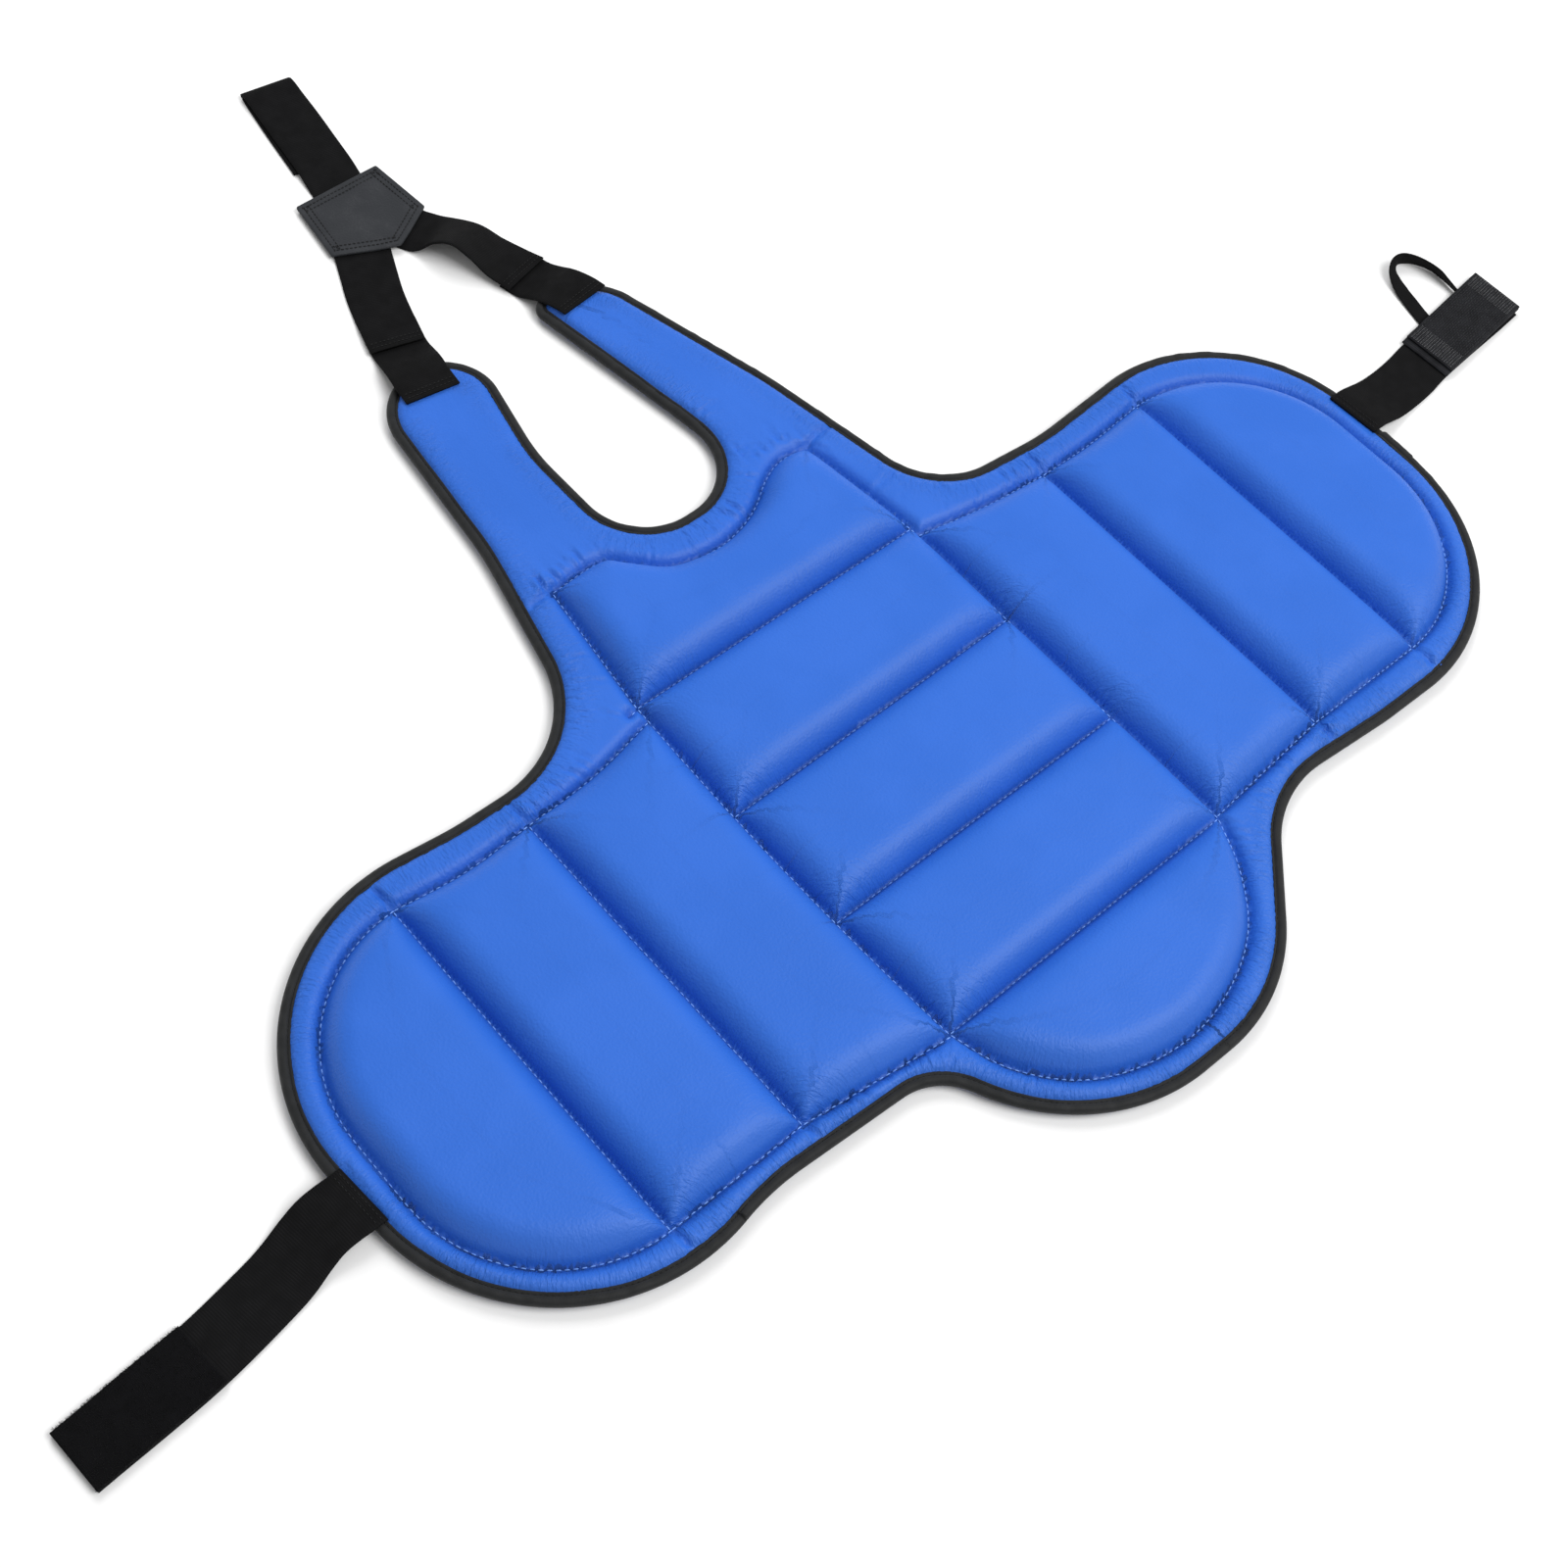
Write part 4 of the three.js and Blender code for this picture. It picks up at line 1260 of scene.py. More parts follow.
    def creases(self) -> Iterator[Crease]:
        """Longer creases at the hollow corners, above the shoulder seams and at the tucks."""
        rng = np.random.default_rng(Seed.CREASES)
        for corner in self.outline.corners:
            hollow = HOLLOW_CREASES.get(corner.name, 0)
            spots = self.outline.stretch(corner, 62)
            for spot in rng.choice(spots, hollow) if hollow else ():
                inward = self.outline.inward[spot] + rng.normal(0, 0.16, 2)
                start = self.outline.line[spot] + inward * rng.uniform(8, 13)
                end = start + inward * rng.uniform(10, 22)
                yield Crease(start, end, rng.uniform(0.3, 1.1), rng.uniform(1.1, 2.0))
        for side in (-1, 1):
            for x in rng.uniform(60, 118, 24):
                start = np.array([side * x, 193 + rng.uniform(0, 2)])
                end = start + (side * rng.normal(0, 2.5), rng.uniform(10, 24))
                yield Crease(start, end, rng.uniform(0.4, 1.1), rng.uniform(1.1, 1.9))
        for tuck in self.quilting.border_tucks:
            for _ in range(9):
                spot = tuck[rng.integers(len(tuck))]
                angle = rng.uniform(0, 2 * math.pi)
                end = spot + rng.uniform(8, 16) * np.array([math.cos(angle), math.sin(angle)])
                yield Crease(spot, end, rng.uniform(0.3, 0.9), rng.uniform(1.1, 1.8))


# Stitches


@dataclass(frozen=True)
class StitchRows:
    """Rows of separate stitches, each a short arched thread whose ends dive into the cloth."""

    pitch: float
    length: float
    radius: float
    sides: int = 6
    lift: float = 0.30

    def piece(self, name: str, lines: Sequence[np.ndarray],
              material: bpy.types.Material) -> bpy.types.Object:
        """Joins the stitches along several lines into one piece.

        Args:
            name: the piece's name.
            lines: places on the cloth, along which they run.
            material: the thread.

        Returns:
            The piece.
        """
        middles, heads = [], []
        for line in lines:
            along = lengths_along(line)
            count = int(along[-1] / self.pitch)
            spots = (np.arange(count) + 0.5) * along[-1] / max(count, 1)
            tail, head = (
                np.stack([np.interp(spots + step, along, line[:, k]) for k in range(3)], 1)
                for step in (-self.length / 2, self.length / 2)
            )
            middles.append((tail + head) / 2)
            heads.append(unit(head - tail))
        points, faces = self.threads(np.vstack(middles), np.vstack(heads))
        return mesh_piece(name, points, faces, material)

    def threads(self, middle: np.ndarray,
                ahead: np.ndarray) -> tuple[np.ndarray, list[list[int]]]:
        """Corners and faces of stitches at the given middles and directions."""
        up = np.array([0.0, 0.0, 1.0])
        aside = unit(np.cross(up, ahead))
        above = np.cross(ahead, aside)
        shares = np.array([-0.5, -0.42, -0.2, 0.2, 0.42, 0.5])
        girth = np.array([0.25, 0.75, 1.0, 1.0, 0.75, 0.25]) * self.radius
        arch = self.lift * (1 - (2 * shares) ** 2) - 0.35 * (np.abs(shares) > 0.45)
        angles = 2 * math.pi * np.arange(self.sides) / self.sides
        rings = []
        for share, radius, height in zip(shares, girth, arch):
            for angle in angles:
                out = radius * (math.cos(angle) * aside + math.sin(angle) * above)
                rings.append(middle + ahead * share * self.length + up * height + out)
        return tubes(rings, self.sides)


SEAM_STITCHES = StitchRows(pitch=4.5, length=3.1, radius=0.42)
TAPE_STITCHES = StitchRows(pitch=3.2, length=2.3, radius=0.3)
STRAP_STITCHES = StitchRows(pitch=2.8, length=2.0, radius=0.28)
PATCH_STITCHES = StitchRows(pitch=3.0, length=2.2, radius=0.3)
HOOK_END_STITCHES = StitchRows(pitch=1.9, length=1.25, radius=0.26)


# The edge tape


@dataclass
class EdgeBinding:
    """Tape folded round the panel's edge, with a sewn groove near its inner edge."""

    outline: Outline
    finish: Webbing = BINDING
    thread: Filament = BLACK_THREAD
    half_z: float = 6.0
    wander: float = 0.35
    wander_size: float = 23.0
    pucker: float = 0.16
    pucker_size: float = 5.5
    lap_x: float = 415.0
    lap_y: tuple[float, float] = (-68.0, -42.0)
    lap_thick: float = 1.3
    lap_swell: float = 0.14
    stitch_inset: float = 5.75
    stitch_z: float = 7.75
    fold: Pairs = (
        (7.6, 2.10), (7.45, 2.7), (7.0, 2.85), (6.4, 2.65), (5.75, 1.5), (5.1, 2.75),
        (4.4, 3.15), (3.1, 3.2), (2.0, 2.95), (0.95, 2.25), (0.25, 1.25), (0.0, 0.0),
    )
    lining: Pairs = ((7.5, 1.8), (3.6, 1.8), (2.5, 1.65), (1.9, 0.0))

    def build(self) -> None:
        """Makes the tape and its stitches."""
        line, inward = self.outline.line, self.outline.inward
        along = lengths_along(np.vstack([line, line[:1]]))[:-1]
        rows = self.section()
        wavy = lattice_noise(along / self.wander_size, along * 0, Seed.TAPE_WANDER)
        wavy = self.wander * wavy
        pucker = lattice_noise(along / self.pucker_size, along * 0, Seed.TAPE_PUCKERS)
        pucker = self.pucker * pucker
        x, y = line.T
        lapped = (x > self.lap_x) & (y > self.lap_y[0]) & (y < self.lap_y[1])
        points = np.empty((len(line), len(rows), 3))
        for k, (inset, height) in enumerate(rows):
            share = min(inset / self.fold[0][0], 1.0)
            depth = inset + wavy * share - self.lap_thick * lapped * (1 - share)
            plan = line + inward * depth[:, None]
            swell = 1 + pucker * (abs(height) > 2) * (inset < 7.0) + self.lap_swell * lapped
            points[:, k] = np.column_stack([plan, self.half_z + height * swell])
        faces = grid_faces(len(line), len(rows), True)
        piece = mesh_piece("edge_tape", points.reshape(-1, 3), faces, self.finish.material())
        across = np.tile(lengths_along(np.array(rows)), len(line))
        weave = np.column_stack([np.repeat(along, len(rows)), across, across * 0])
        carry(piece, "weave", weave)
        dress(piece, Slot.BINDING, "edge_binding")
        row = self.outline.inset(self.stitch_inset)
        row = np.column_stack([row, np.full(len(row), self.stitch_z)])
        stitches = TAPE_STITCHES.piece("edge_stitches", [row], self.thread.material())
        dress(stitches, Slot.BINDING)

    def section(self) -> list[tuple[float, float]]:
        """The fold's cross-section as insets and heights from its middle, once round."""
        under = [(inset, -height) for inset, height in self.fold[-2::-1]]
        lining_under = [(inset, -height) for inset, height in self.lining]
        return [*self.fold, *under, *lining_under, *self.lining[-2::-1]]


# Straps


@dataclass(frozen=True)
class Station:
    """A place that a strap's middle goes through, and how it is turned there, in degrees."""

    x: float
    y: float
    z: float
    turn: float
    tilt: float = 0.0


@dataclass
class Strap:
    """A flat band that follows its stations."""

    name: str
    node: str
    stations: tuple[Station, ...]
    slot: Slot = Slot.ELASTIC
    finish: Webbing = ELASTIC
    width: float = 39.0
    thick: float = 1.8
    held: Held = Held.LAID
    rests_on: tuple[str, ...] = ()
    step: float = 2.0
    columns: int = 15
    wave: float = 0.25
    wave_size: float = 31.0
    edge_thin: float = 0.22
    edge_reach: float = 0.9
    pinch: float = 0.0
    pinch_share: float = 0.62
    row_margin: float = 2.0
    row_points: int = 14

    @cached_property
    def shares(self) -> np.ndarray:
        """Places along the stations at an even step."""
        count = len(self.stations) - 1
        fine = np.linspace(0, count, 60 * count + 1)
        along = lengths_along(smooth_line(self.places, fine))
        wanted = np.linspace(0, along[-1], max(8, round(along[-1] / self.step)) + 1)
        return np.interp(wanted, along, fine)

    @property
    def places(self) -> np.ndarray:
        """The stations' places."""
        return np.array([(s.x, s.y, s.z) for s in self.stations])

    @cached_property
    def middle(self) -> np.ndarray:
        """The line along the strap's middle."""
        return smooth_line(self.places, self.shares)

    @property
    def length(self) -> float:
        """The strap's length along its middle."""
        return float(lengths_along(self.middle)[-1])

    @cached_property
    def axes(self) -> tuple[np.ndarray, np.ndarray]:
        """The directions across the strap and out of its face, at each step."""
        angles = np.array([(s.turn, s.tilt) for s in self.stations])
        turn, tilt = np.radians(smooth_line(angles, self.shares)).T
        flat = np.cos(tilt)
        across = np.stack([np.cos(turn) * flat, np.sin(turn) * flat, np.sin(tilt)], axis=1)
        ahead = unit(np.gradient(self.middle, axis=0))
        return across, unit(np.cross(ahead, across))

    def section(self) -> np.ndarray:
        """The band's cross-section with eased edges: places across and through it, once round."""
        inner = 1 - self.edge_reach * self.thick / self.width
        shares = np.concatenate([[-1.0], np.linspace(-inner, inner, self.columns - 2), [1.0]])
        across = shares * self.width / 2
        half = np.full(self.columns, self.thick / 2)
        half[[0, -1]] = self.edge_thin * self.thick
        upper = np.column_stack([across, half])
        return np.vstack([upper, (upper * (1, -1))[::-1]])

    def build(self, declare: bool = True) -> bpy.types.Object:
        section = self.section()
        across, normal = self.axes
        along = lengths_along(self.middle)
        seed = sum(map(ord, self.name))
        edge_wave = self.wave * lattice_noise(along / self.wave_size, along * 0, seed)
        rows, columns = len(self.middle), len(section)
        points = np.empty((rows, columns, 3))
        slim = self.slimness(along)
        for k, (aside, out) in enumerate(section):
            reach = (aside + edge_wave * np.sign(aside)) * slim
            points[:, k] = self.middle + across * reach[:, None] + normal * out
        faces = grid_faces(rows, columns, False)
        faces += [list(range(columns))[::-1], list(range((rows - 1) * columns, rows * columns))]
        piece = mesh_piece(self.name, points.reshape(-1, 3), faces, self.finish.material())
        across = np.tile(section[:, 0], rows)
        weave = np.column_stack([np.repeat(along, columns), across, across * 0])
        carry(piece, "weave", weave)
        dress(piece, self.slot, self.node)
        if declare:
            flat = (self.width * MM, self.length * MM)
            list(self.rests_on)
        return piece

    def slimness(self, along: np.ndarray) -> np.ndarray | float:
        """The share of its width that the strap keeps at each step, less at a pinched end."""
        if not self.pinch:
            return 1.0
        return 1 - self.pinch_share * np.clip(1 - (along[-1] - along) / self.pinch, 0, 1)

    def on_face(self, spots: np.ndarray) -> np.ndarray:
        """Places on the upper face: rows of millimetres along and across the strap."""
        along = lengths_along(self.middle)
        across, normal = self.axes
        up = normal * np.sign(normal[:, 2:])

        def at(values: np.ndarray) -> np.ndarray:
            """Values between the steps."""
            parts = [np.interp(spots[:, 0], along, values[:, k]) for k in range(3)]
            return np.stack(parts, axis=1)

        return at(self.middle) + at(across) * spots[:, 1:] + at(up) * self.thick / 2

    def sewn_row(self, along: float) -> np.ndarray:
        """Places of a sewn row across the face, at that distance from the first end."""
        reach = self.width / 2 - self.row_margin
        across = np.linspace(-reach, reach, self.row_points)
        return self.on_face(np.column_stack([np.full(self.row_points, along), across]))


REST_Z = 1.1
LAP_Z = 3.2
PAD_TOP_Z = 13.2
TAPE_TOP_Z = 10.2


@dataclass
class ShoulderHarness:
    """Tabs on the shoulder pads, elastics from the yoke and the yoke's own loop."""

    thread: Filament = BLACK_THREAD
    tab_left: tuple[Station, ...] = (
        Station(-66.4, 360.2, PAD_TOP_Z, -8), Station(-64.5, 375, PAD_TOP_Z, -9),
        Station(-62, 385, 11.6, -10), Station(-60, 393, 9.2, -12), Station(-57.5, 401, 5, -13),
        Station(-55, 411, 1.4, -14), Station(-52, 424, REST_Z, -15),
    )
    tab_right: tuple[Station, ...] = (
        Station(65.5, 367, PAD_TOP_Z, 7), Station(63.5, 376, PAD_TOP_Z, 10),
        Station(61, 386, 11.6, 12), Station(59.5, 393, 9.2, 13), Station(58, 401, 5, 14),
        Station(55.5, 411, 1.4, 15), Station(52.5, 424, REST_Z, 15),
    )
    elastic_left: tuple[Station, ...] = (
        Station(-55.5, 413.5, LAP_Z + 0.5, -14), Station(-51, 428, LAP_Z, -16),
        Station(-46, 443, 1.5, -21), Station(-39.5, 461, REST_Z, -25),
        Station(-31, 480, REST_Z, -27), Station(-21, 502, REST_Z, -27),
    )
    elastic_right: tuple[Station, ...] = (
        Station(54, 415.5, LAP_Z + 0.5, 15), Station(48.5, 432, 4.4, 14, -5),
        Station(43.5, 447, 8, 17, -15), Station(37.5, 461, 12.3, 20, -18),
        Station(30, 474, 9.5, 25, -15), Station(24, 484, 3, 29, -4),
        Station(20, 490.5, REST_Z + 0.2, 30), Station(14, 502, REST_Z, 30),
    )
    yoke_elastic: tuple[Station, ...] = (
        Station(-4, 530, REST_Z, -8), Station(0.3, 559, REST_Z, -8), Station(3.1, 576, 3.1, -8),
        Station(8.6, 612, 3.4, -9), Station(13.2, 646, 4.2, -8), Station(14.9, 661, 4.8, -7),
        Station(15.4, 665.6, 3.1, -7), Station(14.6, 661, 1.35, -7),
        Station(12.0, 647, REST_Z, -8), Station(6.4, 613, REST_Z, -8),
        Station(1.2, 581, REST_Z, -8),
    )
    row_places: tuple[float, float] = (3.0, 6.5)

    def build(self) -> None:
        """Makes the straps with their sewn rows, then the yoke."""
        on_pad, on_left, on_right = ("quilted_panel",), ("tab_left",), ("tab_right",)
        sewn = [
            Strap("tab_left", "shoulder_tab_left", self.tab_left, rests_on=on_pad),
            Strap("tab_right", "shoulder_tab_right", self.tab_right, rests_on=on_pad),
            Strap("elastic_left", "shoulder_elastic_left", self.elastic_left, rests_on=on_left),
            Strap("elastic_right", "shoulder_elastic_right", self.elastic_right, rests_on=on_right),
        ]
        loop = Strap("yoke_loop", "yoke_elastic", self.yoke_elastic, held=Held.FOLDED, step=1.6)
        for strap in (*sewn, loop):
            strap.build()
        rows = [strap.sewn_row(along) for along in self.row_places for strap in sewn]
        stitches = STRAP_STITCHES.piece("strap_stitches", rows, self.thread.material())
        dress(stitches, Slot.ELASTIC)
        YokePatch().build()


@dataclass
class YokePatch:
    """Five-sided leather patch with two sewn rows round it."""

    corners: Pairs = ((-43.5, 504), (0.5, 484.5), (36, 506), (32, 557), (-36.5, 555))
    finish: PatchLeather = PatchLeather()
    thread: Filament = BLACK_THREAD
    low_z: float = 2.3
    top_z: float = 4.7
    round: float = 1.2
    curl: float = 2.0
    curl_reach: float = 17.0
    rows: tuple[float, float] = (4.2, 8.0)
    row_width: float = 0.9
    row_depth: float = 0.35
    stitch_sink: float = 0.15
    uneven: float = 0.22
    uneven_size: float = 14.0
    face_inset: float = 2.0
    step: float = 1.5

    def loop(self, inset: float) -> np.ndarray:
        """The patch's edge moved in, with rounded corners."""
        corners = tuple(Corner("patch", x, y, self.round) for x, y in self.corners)
        outline = Outline(corners, self.step)
        return outline.inset(inset)

    def build(self) -> None:
        """Makes the patch and its stitches."""
        points, faces = self.mesh()
        piece = mesh_piece("yoke_leather_patch", points, faces, self.finish.material())
        dress(piece, Slot.YOKE, "yoke_patch")
        ring = np.array(self.corners)
        lines = []
        for inset in self.rows:
            row = self.loop(inset)
            row = np.vstack([row, row[:1]])
            lines.append(np.column_stack([row, self.top_z - self.stitch_sink + self.lift(row)]))
        stitches = PATCH_STITCHES.piece("patch_stitches", lines, self.thread.material())
        dress(stitches, Slot.YOKE)

    def mesh(self) -> tuple[np.ndarray, list[list[int]]]:
        """Corners and faces of the patch: a rounded side, a flat underside and an uneven face."""
        edge = self.loop(0.0)
        low_z, top_z = self.low_z, self.top_z
        levels = (
            (0.5, low_z), (0.05, low_z + 0.4), (0.0, top_z - 0.7),
            (0.35, top_z - 0.2), (1.2, top_z),
        )
        rings = [np.column_stack([self.loop(inset), np.full(len(edge), z)]) for inset, z in levels]
        shell = np.vstack(rings)
        shell[:, 2] += self.lift(shell)
        count = len(edge)
        faces = grid_faces(len(levels), count, False)
        faces.append(list(range(count))[::-1])
        rim = rings[-1][:, :2]
        grid = self.face_places(rim)
        edges = [(k, (k + 1) % count) for k in range(count)]
        made = delaunay_2d_cdt([Vector(p) for p in np.vstack([rim, grid])], edges, [], 1, 1e-5)
        plan = np.array([tuple(v) for v in made[0]])
        first = len(shell) - count
        numbers = np.array([sources[0] for sources in made[3]])
        place = np.where(numbers < count, first + numbers, len(shell) + numbers - count)
        faces += [[int(place[c]) for c in face] for face in made[2]]
        top = np.column_stack([grid, self.heights(grid)])
        return np.vstack([shell, top]), faces

    def face_places(self, rim: np.ndarray) -> np.ndarray:
        """Places over the patch's face, inside its rim."""
        low, high = rim.min(axis=0), rim.max(axis=0)
        x, y = (np.arange(start, end, self.step) for start, end in zip(low, high))
        grid = np.stack(np.meshgrid(x, y), -1).reshape(-1, 2)
        grid = grid[holds(self.loop(self.face_inset), grid)]
        return grid + np.random.default_rng(Seed.PATCH_PLACES).uniform(-0.2, 0.2, grid.shape)

    def heights(self, places: np.ndarray) -> np.ndarray:
        """Heights of the face: pressed in along the sewn rows, a little uneven between them."""
        ring = np.array(self.corners, float)
        edge = segment_distance(places, np.vstack([ring, ring[:1]]))
        dents = sum(np.exp(-(((edge - row) / self.row_width) ** 2)) for row in self.rows)
        x, y = places.T / self.uneven_size
        uneven = lattice_noise(x, y, Seed.PATCH_UNEVEN)
        uneven = self.uneven * uneven * np.clip(edge / 6 - 0.3, 0, 1)
        return self.top_z - self.row_depth * dents + uneven + self.lift(places)

    def lift(self, places: np.ndarray) -> np.ndarray:
        """How far the tip between the two elastics curls up."""
        reach = np.hypot(*(places[:, :2] - self.corners[1]).T)
        return self.curl * np.clip(1 - reach / self.curl_reach, 0, 1) ** 1.5


@dataclass
class WaistStraps:
    """The two waist elastics with their loop and hook tapes, and the finger loop."""

    left: tuple[Station, ...] = (
        Station(-425.2, -55.4, TAPE_TOP_Z, 94), Station(-434, -55.5, TAPE_TOP_Z, 93),
        Station(-443, -55.3, 9.9, 93), Station(-453, -55.5, 8.0, 94),
        Station(-463, -57.2, 4.6, 97), Station(-480, -62, 1.6, 100), Station(-500, -66, 1.2, 99),
        Station(-540, -72, REST_Z, 95), Station(-614, -77, REST_Z, 93),
    )
    right: tuple[Station, ...] = (
        Station(429.8, -19.5, TAPE_TOP_Z, 93), Station(433, -19.4, TAPE_TOP_Z, 93),
        Station(441, -19.3, 9.9, 92), Station(452, -19.4, 7, 91),
        Station(463, -19.6, 4, 90), Station(480, -19, 1.7, 91), Station(500, -17.3, REST_Z, 94),
        Station(523.5, -13.8, REST_Z, 94), Station(612, -7, REST_Z, 93),
    )
    loop_tape: tuple[Station, ...] = (
        Station(-536, -71.5, 3.3, 95), Station(-614.5, -77, 3.3, 93),
    )
    hook_backing: tuple[Station, ...] = (
        Station(520.5, -13.7, 3.05, 92), Station(616.7, -3.4, 3.05, 91),
    )
    hook_tape: tuple[Station, ...] = (
        Station(526, -13.1, 4.85, 92), Station(617, -3.3, 4.85, 91),
    )
    row_places: tuple[float, float] = (2.5, 6.0)
    hook_width: float = 41.5
    hook_thick: float = 1.5
    loop_thick: float = 2.0
    hook_pitch: float = 1.7
    hook_height: float = 0.9
    hook_half: float = 0.13
    hook_bends: Pairs = ((0.0, -0.1), (0.05, 0.5), (0.30, 0.9), (0.62, 0.55))
    end_rows: tuple[float, float, float] = (1.5, 17.0, 1.45)
    far_end_rows: int = 10
    fibres: int = 2600
    fibre_length: float = 1.7
    fibre_radius: float = 0.09
    fibre_bends: Pairs = ((0.0, 0.0), (0.25, 0.35), (0.65, 0.35), (0.95, 0.12))
    edge_fibres: float = 0.35
    thread: Filament = BLACK_THREAD
    pile: Filament = PILE_FIBRE
    hooks: Filament = HOOK_FILAMENT
    woven: Filament = GREY_THREAD

    def build(self) -> None:
        """Makes the straps, the tapes on them, their pile and hooks, and the sewn rows."""
        on_tape = ("edge_tape",)
        left = Strap("waist_elastic_left", "waist_strap_left", self.left, rests_on=on_tape)
        right = Strap("waist_elastic_right", "waist_strap_right", self.right, rests_on=on_tape)
        loop = Strap(
            "loop_ground", "loop_tape", self.loop_tape, Slot.LOOP, LOOP_BASE,
            thick=self.loop_thick, rests_on=("waist_elastic_left",),
        )
        backing = Strap(
            "hook_backing_tape", "hook_backing", self.hook_backing, Slot.HOOK, HOOK_BASE,
            self.hook_width, self.hook_thick, rests_on=("waist_elastic_right",),
        )
        hook = Strap(
            "hook_ground", "hook_tape", self.hook_tape, Slot.HOOK, HOOK_BASE,
            self.hook_width, self.hook_thick, rests_on=("hook_backing_tape",),
        )
        for strap in (left, right, loop, backing, hook):
            strap.build()
        self.hook_field(hook)
        self.pile_field(loop)
        rows = [strap.sewn_row(along) for strap in (left, right) for along in self.row_places]
        stitches = STRAP_STITCHES.piece("waist_stitches", rows, self.thread.material())
        dress(stitches, Slot.ELASTIC)

    def hook_field(self, tape: Strap) -> None:
        """Makes rows of small bent hooks over the hook tape."""
        rng = np.random.default_rng(Seed.HOOKS)
        along = np.arange(2.0, tape.length - 1.5, self.hook_pitch)
        across = np.arange(-tape.width / 2 + 2.0, tape.width / 2 - 1.5, self.hook_pitch)
        spots = np.stack(np.meshgrid(along, across, indexing="ij"), -1).reshape(-1, 2)
        spots = spots + rng.normal(0, 0.10, spots.shape)
        foot = tape.on_face(spots)
        lean = np.where(np.arange(len(spots)) % 2 == 0, 1.0, -1.0)
        half = self.hook_half
        square = ((-half, -half), (half, -half), (half, half), (-half, half))
        rings = []
        for aside, height in self.hook_bends:
            reach = np.column_stack([lean * aside, lean * 0, np.full(len(spots), height)])
            centre = foot + reach * self.hook_height
            for x, y in square:
                rings.append(centre + (x, y, 0))
        points, faces = tubes(rings, len(square))
        piece = mesh_piece("hook_rows", points, faces, self.hooks.material())
        dress(piece, Slot.HOOK)
        near = np.arange(*self.end_rows)
        ends = [*near, *(tape.length - near[:self.far_end_rows])]
        rows = [tape.sewn_row(along) for along in ends]
        woven = HOOK_END_STITCHES.piece("hook_end_rows", rows, self.woven.material())
        dress(woven, Slot.HOOK)

    def pile_field(self, tape: Strap) -> None:
        """Makes short curled fibres over the loop tape and out of its edges."""
        rng = np.random.default_rng(Seed.PILE)
        half = tape.width / 2
        along = rng.uniform(0.5, tape.length - 0.5, self.fibres)
        across = rng.uniform(-half, half, self.fibres)
        edge = rng.random(self.fibres) < self.edge_fibres
        rim = np.sign(across) * (half - rng.uniform(0, 0.6, self.fibres))
        across = np.where(edge, rim, across)
        foot = tape.on_face(np.column_stack([along, across]))
        foot[:, 2] -= np.where(edge, rng.uniform(0.1, 1.2, self.fibres), 0.05)
        turn = rng.uniform(0, 2 * math.pi, self.fibres)
        aside = np.column_stack([np.cos(turn), np.sin(turn), np.zeros(self.fibres)])
        length = self.fibre_length * rng.uniform(0.5, 1.0, self.fibres)[:, None]
        up = np.array([0.0, 0.0, 1.0])
        angles = (0.0, 2.1, 4.2)
        rings = []
        for out, rise in self.fibre_bends:
            centre = foot + length * (aside * out + up * rise)
            for angle in angles:
                spoke = np.array([math.cos(angle), math.sin(angle), 0.4])
                rings.append(centre + self.fibre_radius * spoke)
        points, faces = tubes(rings, len(angles))
        piece = mesh_piece("loop_fibres", points, faces, self.pile.material())
        dress(piece, Slot.LOOP)


@dataclass
class FingerLoop:
    """Narrow flat elastic that comes out of the hook end and goes back into it."""

    stations: tuple[Station, ...] = (
        Station(551.2, 8.9, 1.2, 162), Station(556, 27, 1.4, 162), Station(560.5, 42, 2.0, 158, 8),
        Station(565.5, 53, 3.9, 143, 32), Station(571.5, 58.8, 5.6, 115, 62),
        Station(578.5, 60, 6.1, 82, 90), Station(586, 54.6, 6.0, 53, 104),
        Station(591.5, 44.3, 5.8, 40, 115), Station(593.5, 34.6, 5.4, 38, 120),
        Station(592.9, 23, 4.4, 30, 120), Station(591.9, 15.1, 3.9, 24, 118),
    )
    width: float = 11.6
    thick: float = 1.3

    def build(self) -> None:
        strap = Strap(
            "finger_pull", "finger_loop", self.stations, width=self.width, thick=self.thick,
            step=1.2, columns=9, wave=0.1, pinch=18.0,
        )
        piece = strap.build(declare=False)
        strap.length * MM
        self.width * MM
        [tuple(p) for p in strap.middle * MM]


# Camera, light and floor


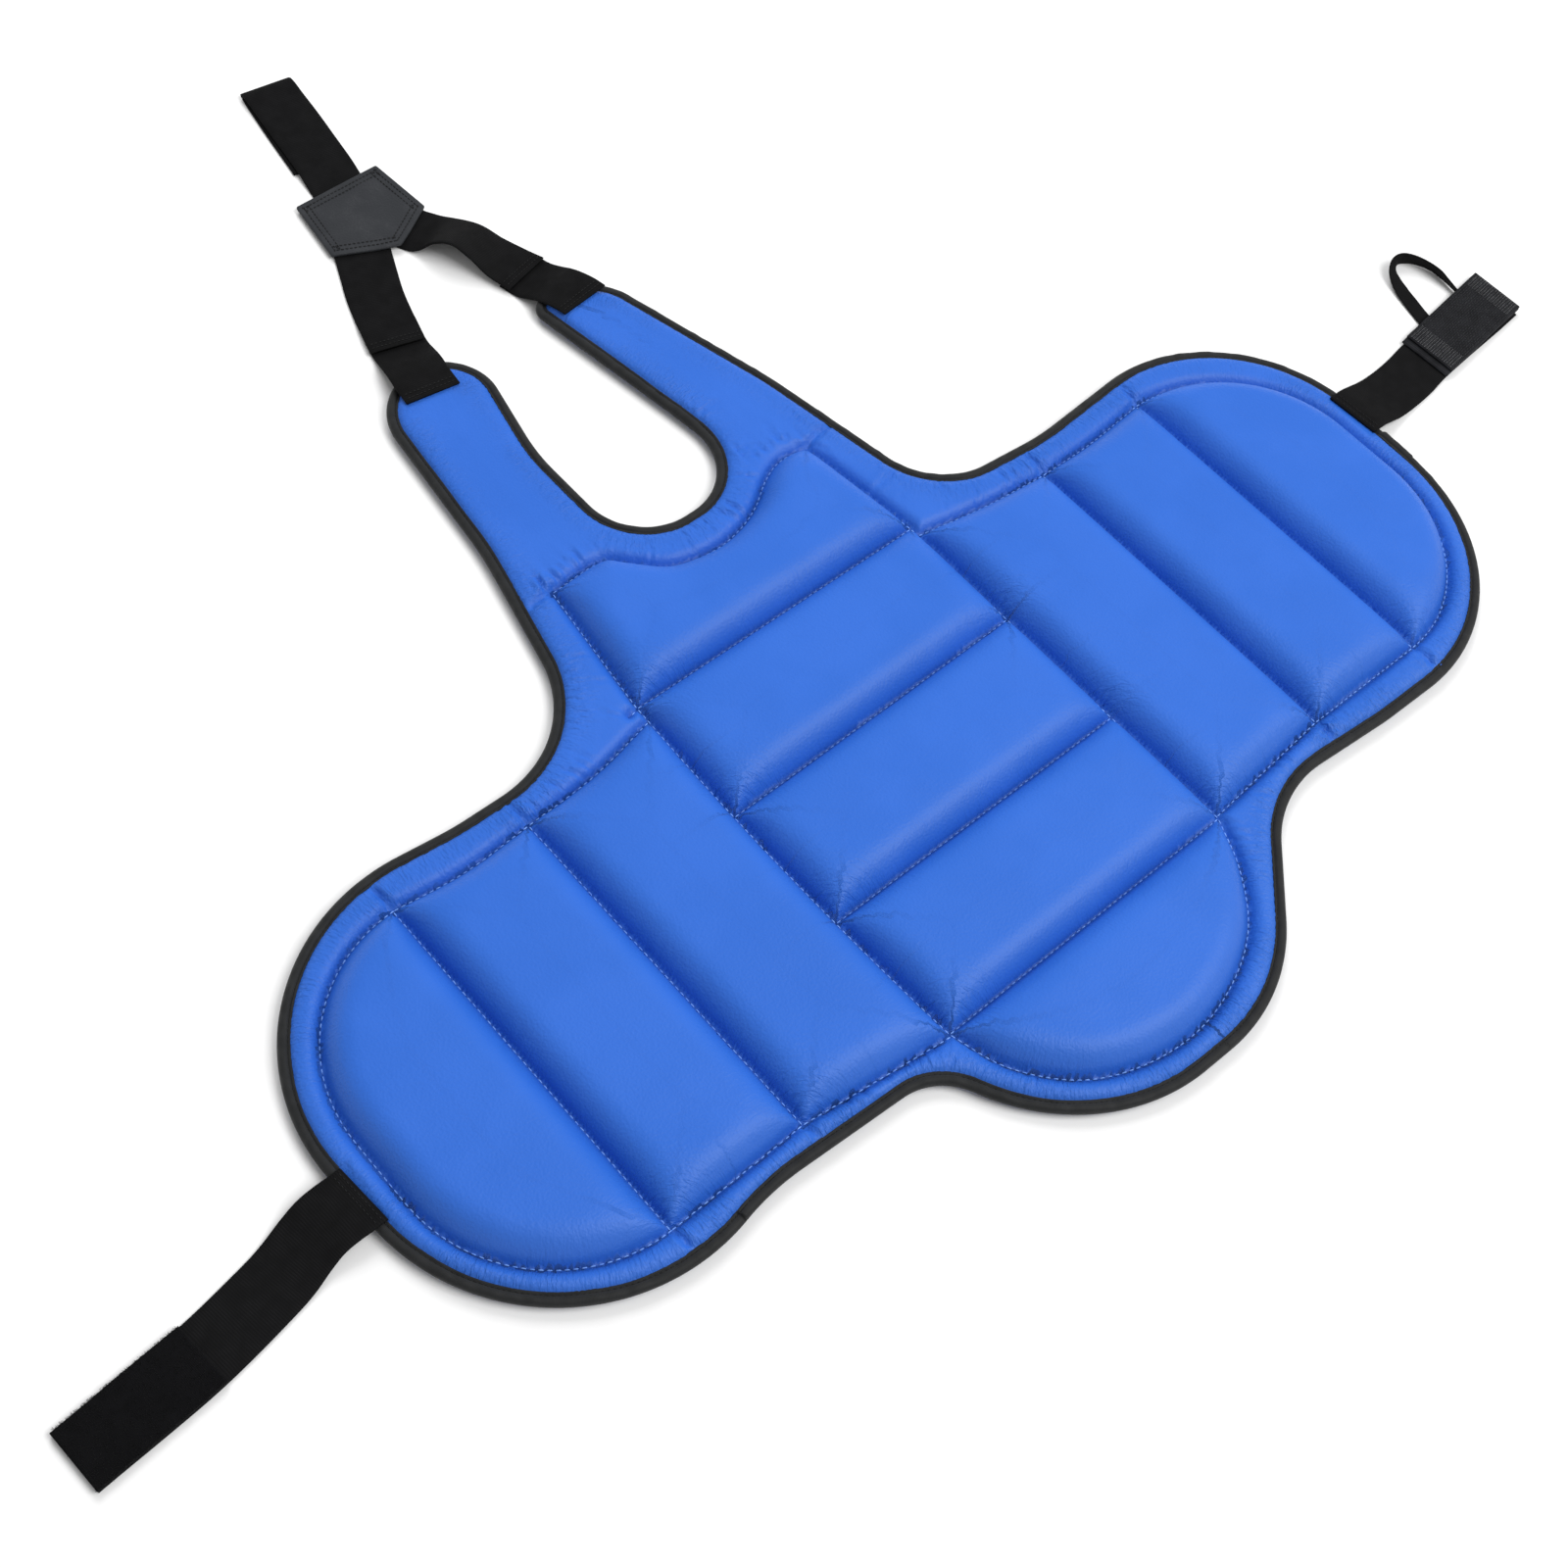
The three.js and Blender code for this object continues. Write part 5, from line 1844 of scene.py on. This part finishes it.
@dataclass
class Studio:
    """The camera at the photograph's angle, soft lights and a pale floor."""

    azimuth: float = math.radians(-52.105)
    elevation: float = math.radians(57.574)
    roll: float = math.radians(12.330)
    distance: float = 1360.99
    target: tuple[float, float, float] = (-79.165, -0.337, 6.0)
    focal_share: float = 2323.3 / 1600
    sensor: float = 36.0
    floor_size: float = 12.0
    world_strength: float = 0.43
    aim: tuple[float, float, float] = (0, 0.1, 0)
    key_place: tuple[float, float, float] = (1.40, 2.80, 2.60)
    key_size: float = 2.8
    key_watts: float = 111.0
    front_place: tuple[float, float, float] = (1.15, -2.00, 3.30)
    front_size: float = 2.6
    front_watts: float = 121.0

    def set_camera(self) -> None:
        """Places the camera and makes it the scene's own."""
        back = np.array([
            math.sin(self.azimuth) * math.cos(self.elevation),
            -math.cos(self.azimuth) * math.cos(self.elevation),
            math.sin(self.elevation),
        ])
        right = unit(np.cross((0.0, 0.0, 1.0), back))
        up = np.cross(back, right)
        c, s = math.cos(self.roll), math.sin(self.roll)
        right, up = c * right + s * up, c * up - s * right
        eye = (np.array(self.target) + back * self.distance) * MM
        data = bpy.data.cameras.new("photo_camera")
        data.sensor_width = self.sensor
        data.lens = self.focal_share * self.sensor
        data.clip_end = 100.0
        camera = bpy.data.objects.new("photo_camera", data)
        placed = np.column_stack([right, up, back, eye])
        camera.matrix_world = Matrix([*placed.tolist(), [0, 0, 0, 1]])
        bpy.context.scene.collection.objects.link(camera)
        bpy.context.scene.camera = camera

    def light(self, name: str, place: Sequence[float], size: float, watts: float,
              glossy: bool = True) -> None:
        """Adds a square soft light, in metres, turned to the part, with or without reflections."""
        data = bpy.data.lights.new(name, "AREA")
        data.size = size
        data.energy = watts
        lamp = bpy.data.objects.new(name, data)
        lamp.location = place
        lamp.visible_glossy = glossy
        ray = Vector(self.aim) - Vector(place)
        lamp.rotation_euler = ray.to_track_quat("-Z", "Y").to_euler()
        bpy.context.scene.collection.objects.link(lamp)

    def set_lights(self) -> None:
        """Pale surroundings and two soft lights: from the picture's top and from its right."""
        world = bpy.data.worlds.new("pale_studio")
        world.use_nodes = True
        ground = world.node_tree.nodes["Background"]
        ground.inputs["Color"].default_value = (1.0, 1.0, 1.0, 1.0)
        ground.inputs["Strength"].default_value = self.world_strength
        bpy.context.scene.world = world
        self.light("key_softbox", self.key_place, self.key_size, self.key_watts, False)
        self.light("front_softbox", self.front_place, self.front_size, self.front_watts)
        bpy.context.scene.view_settings.view_transform = "Standard"

    def set_floor(self) -> None:
        """A pale floor under the part."""
        half = self.floor_size / 2
        square = ((-half, -half, 0), (half, -half, 0), (half, half, 0), (-half, half, 0))
        corners = np.array(square) / MM
        floor = mesh_piece("studio_floor", corners, [[0, 1, 2, 3]], StudioFloor().material())
        floor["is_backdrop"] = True


def write_sizes() -> None:
    """Gathers the solids' box and the dressed part's box."""
    boxes = {"cad": CAD_BOUNDS, "visual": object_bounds()}
    plain = {key: [[float(v) for v in corner] for corner in box] for key, box in boxes.items()}


def main() -> None:
    """Builds the scene piece by piece."""
    logging.basicConfig(level=logging.INFO, format="%(name)s: %(message)s")
    studio = Studio()
    studio.set_camera()
    FingerLoop().build()
    outline = Outline()
    PaddedPanel(outline, Quilting()).build()
    EdgeBinding(outline).build()
    ShoulderHarness().build()
    WaistStraps().build()
    studio.set_lights()
    studio.set_floor()
    write_sizes()


if __name__ == "__main__":
    main()
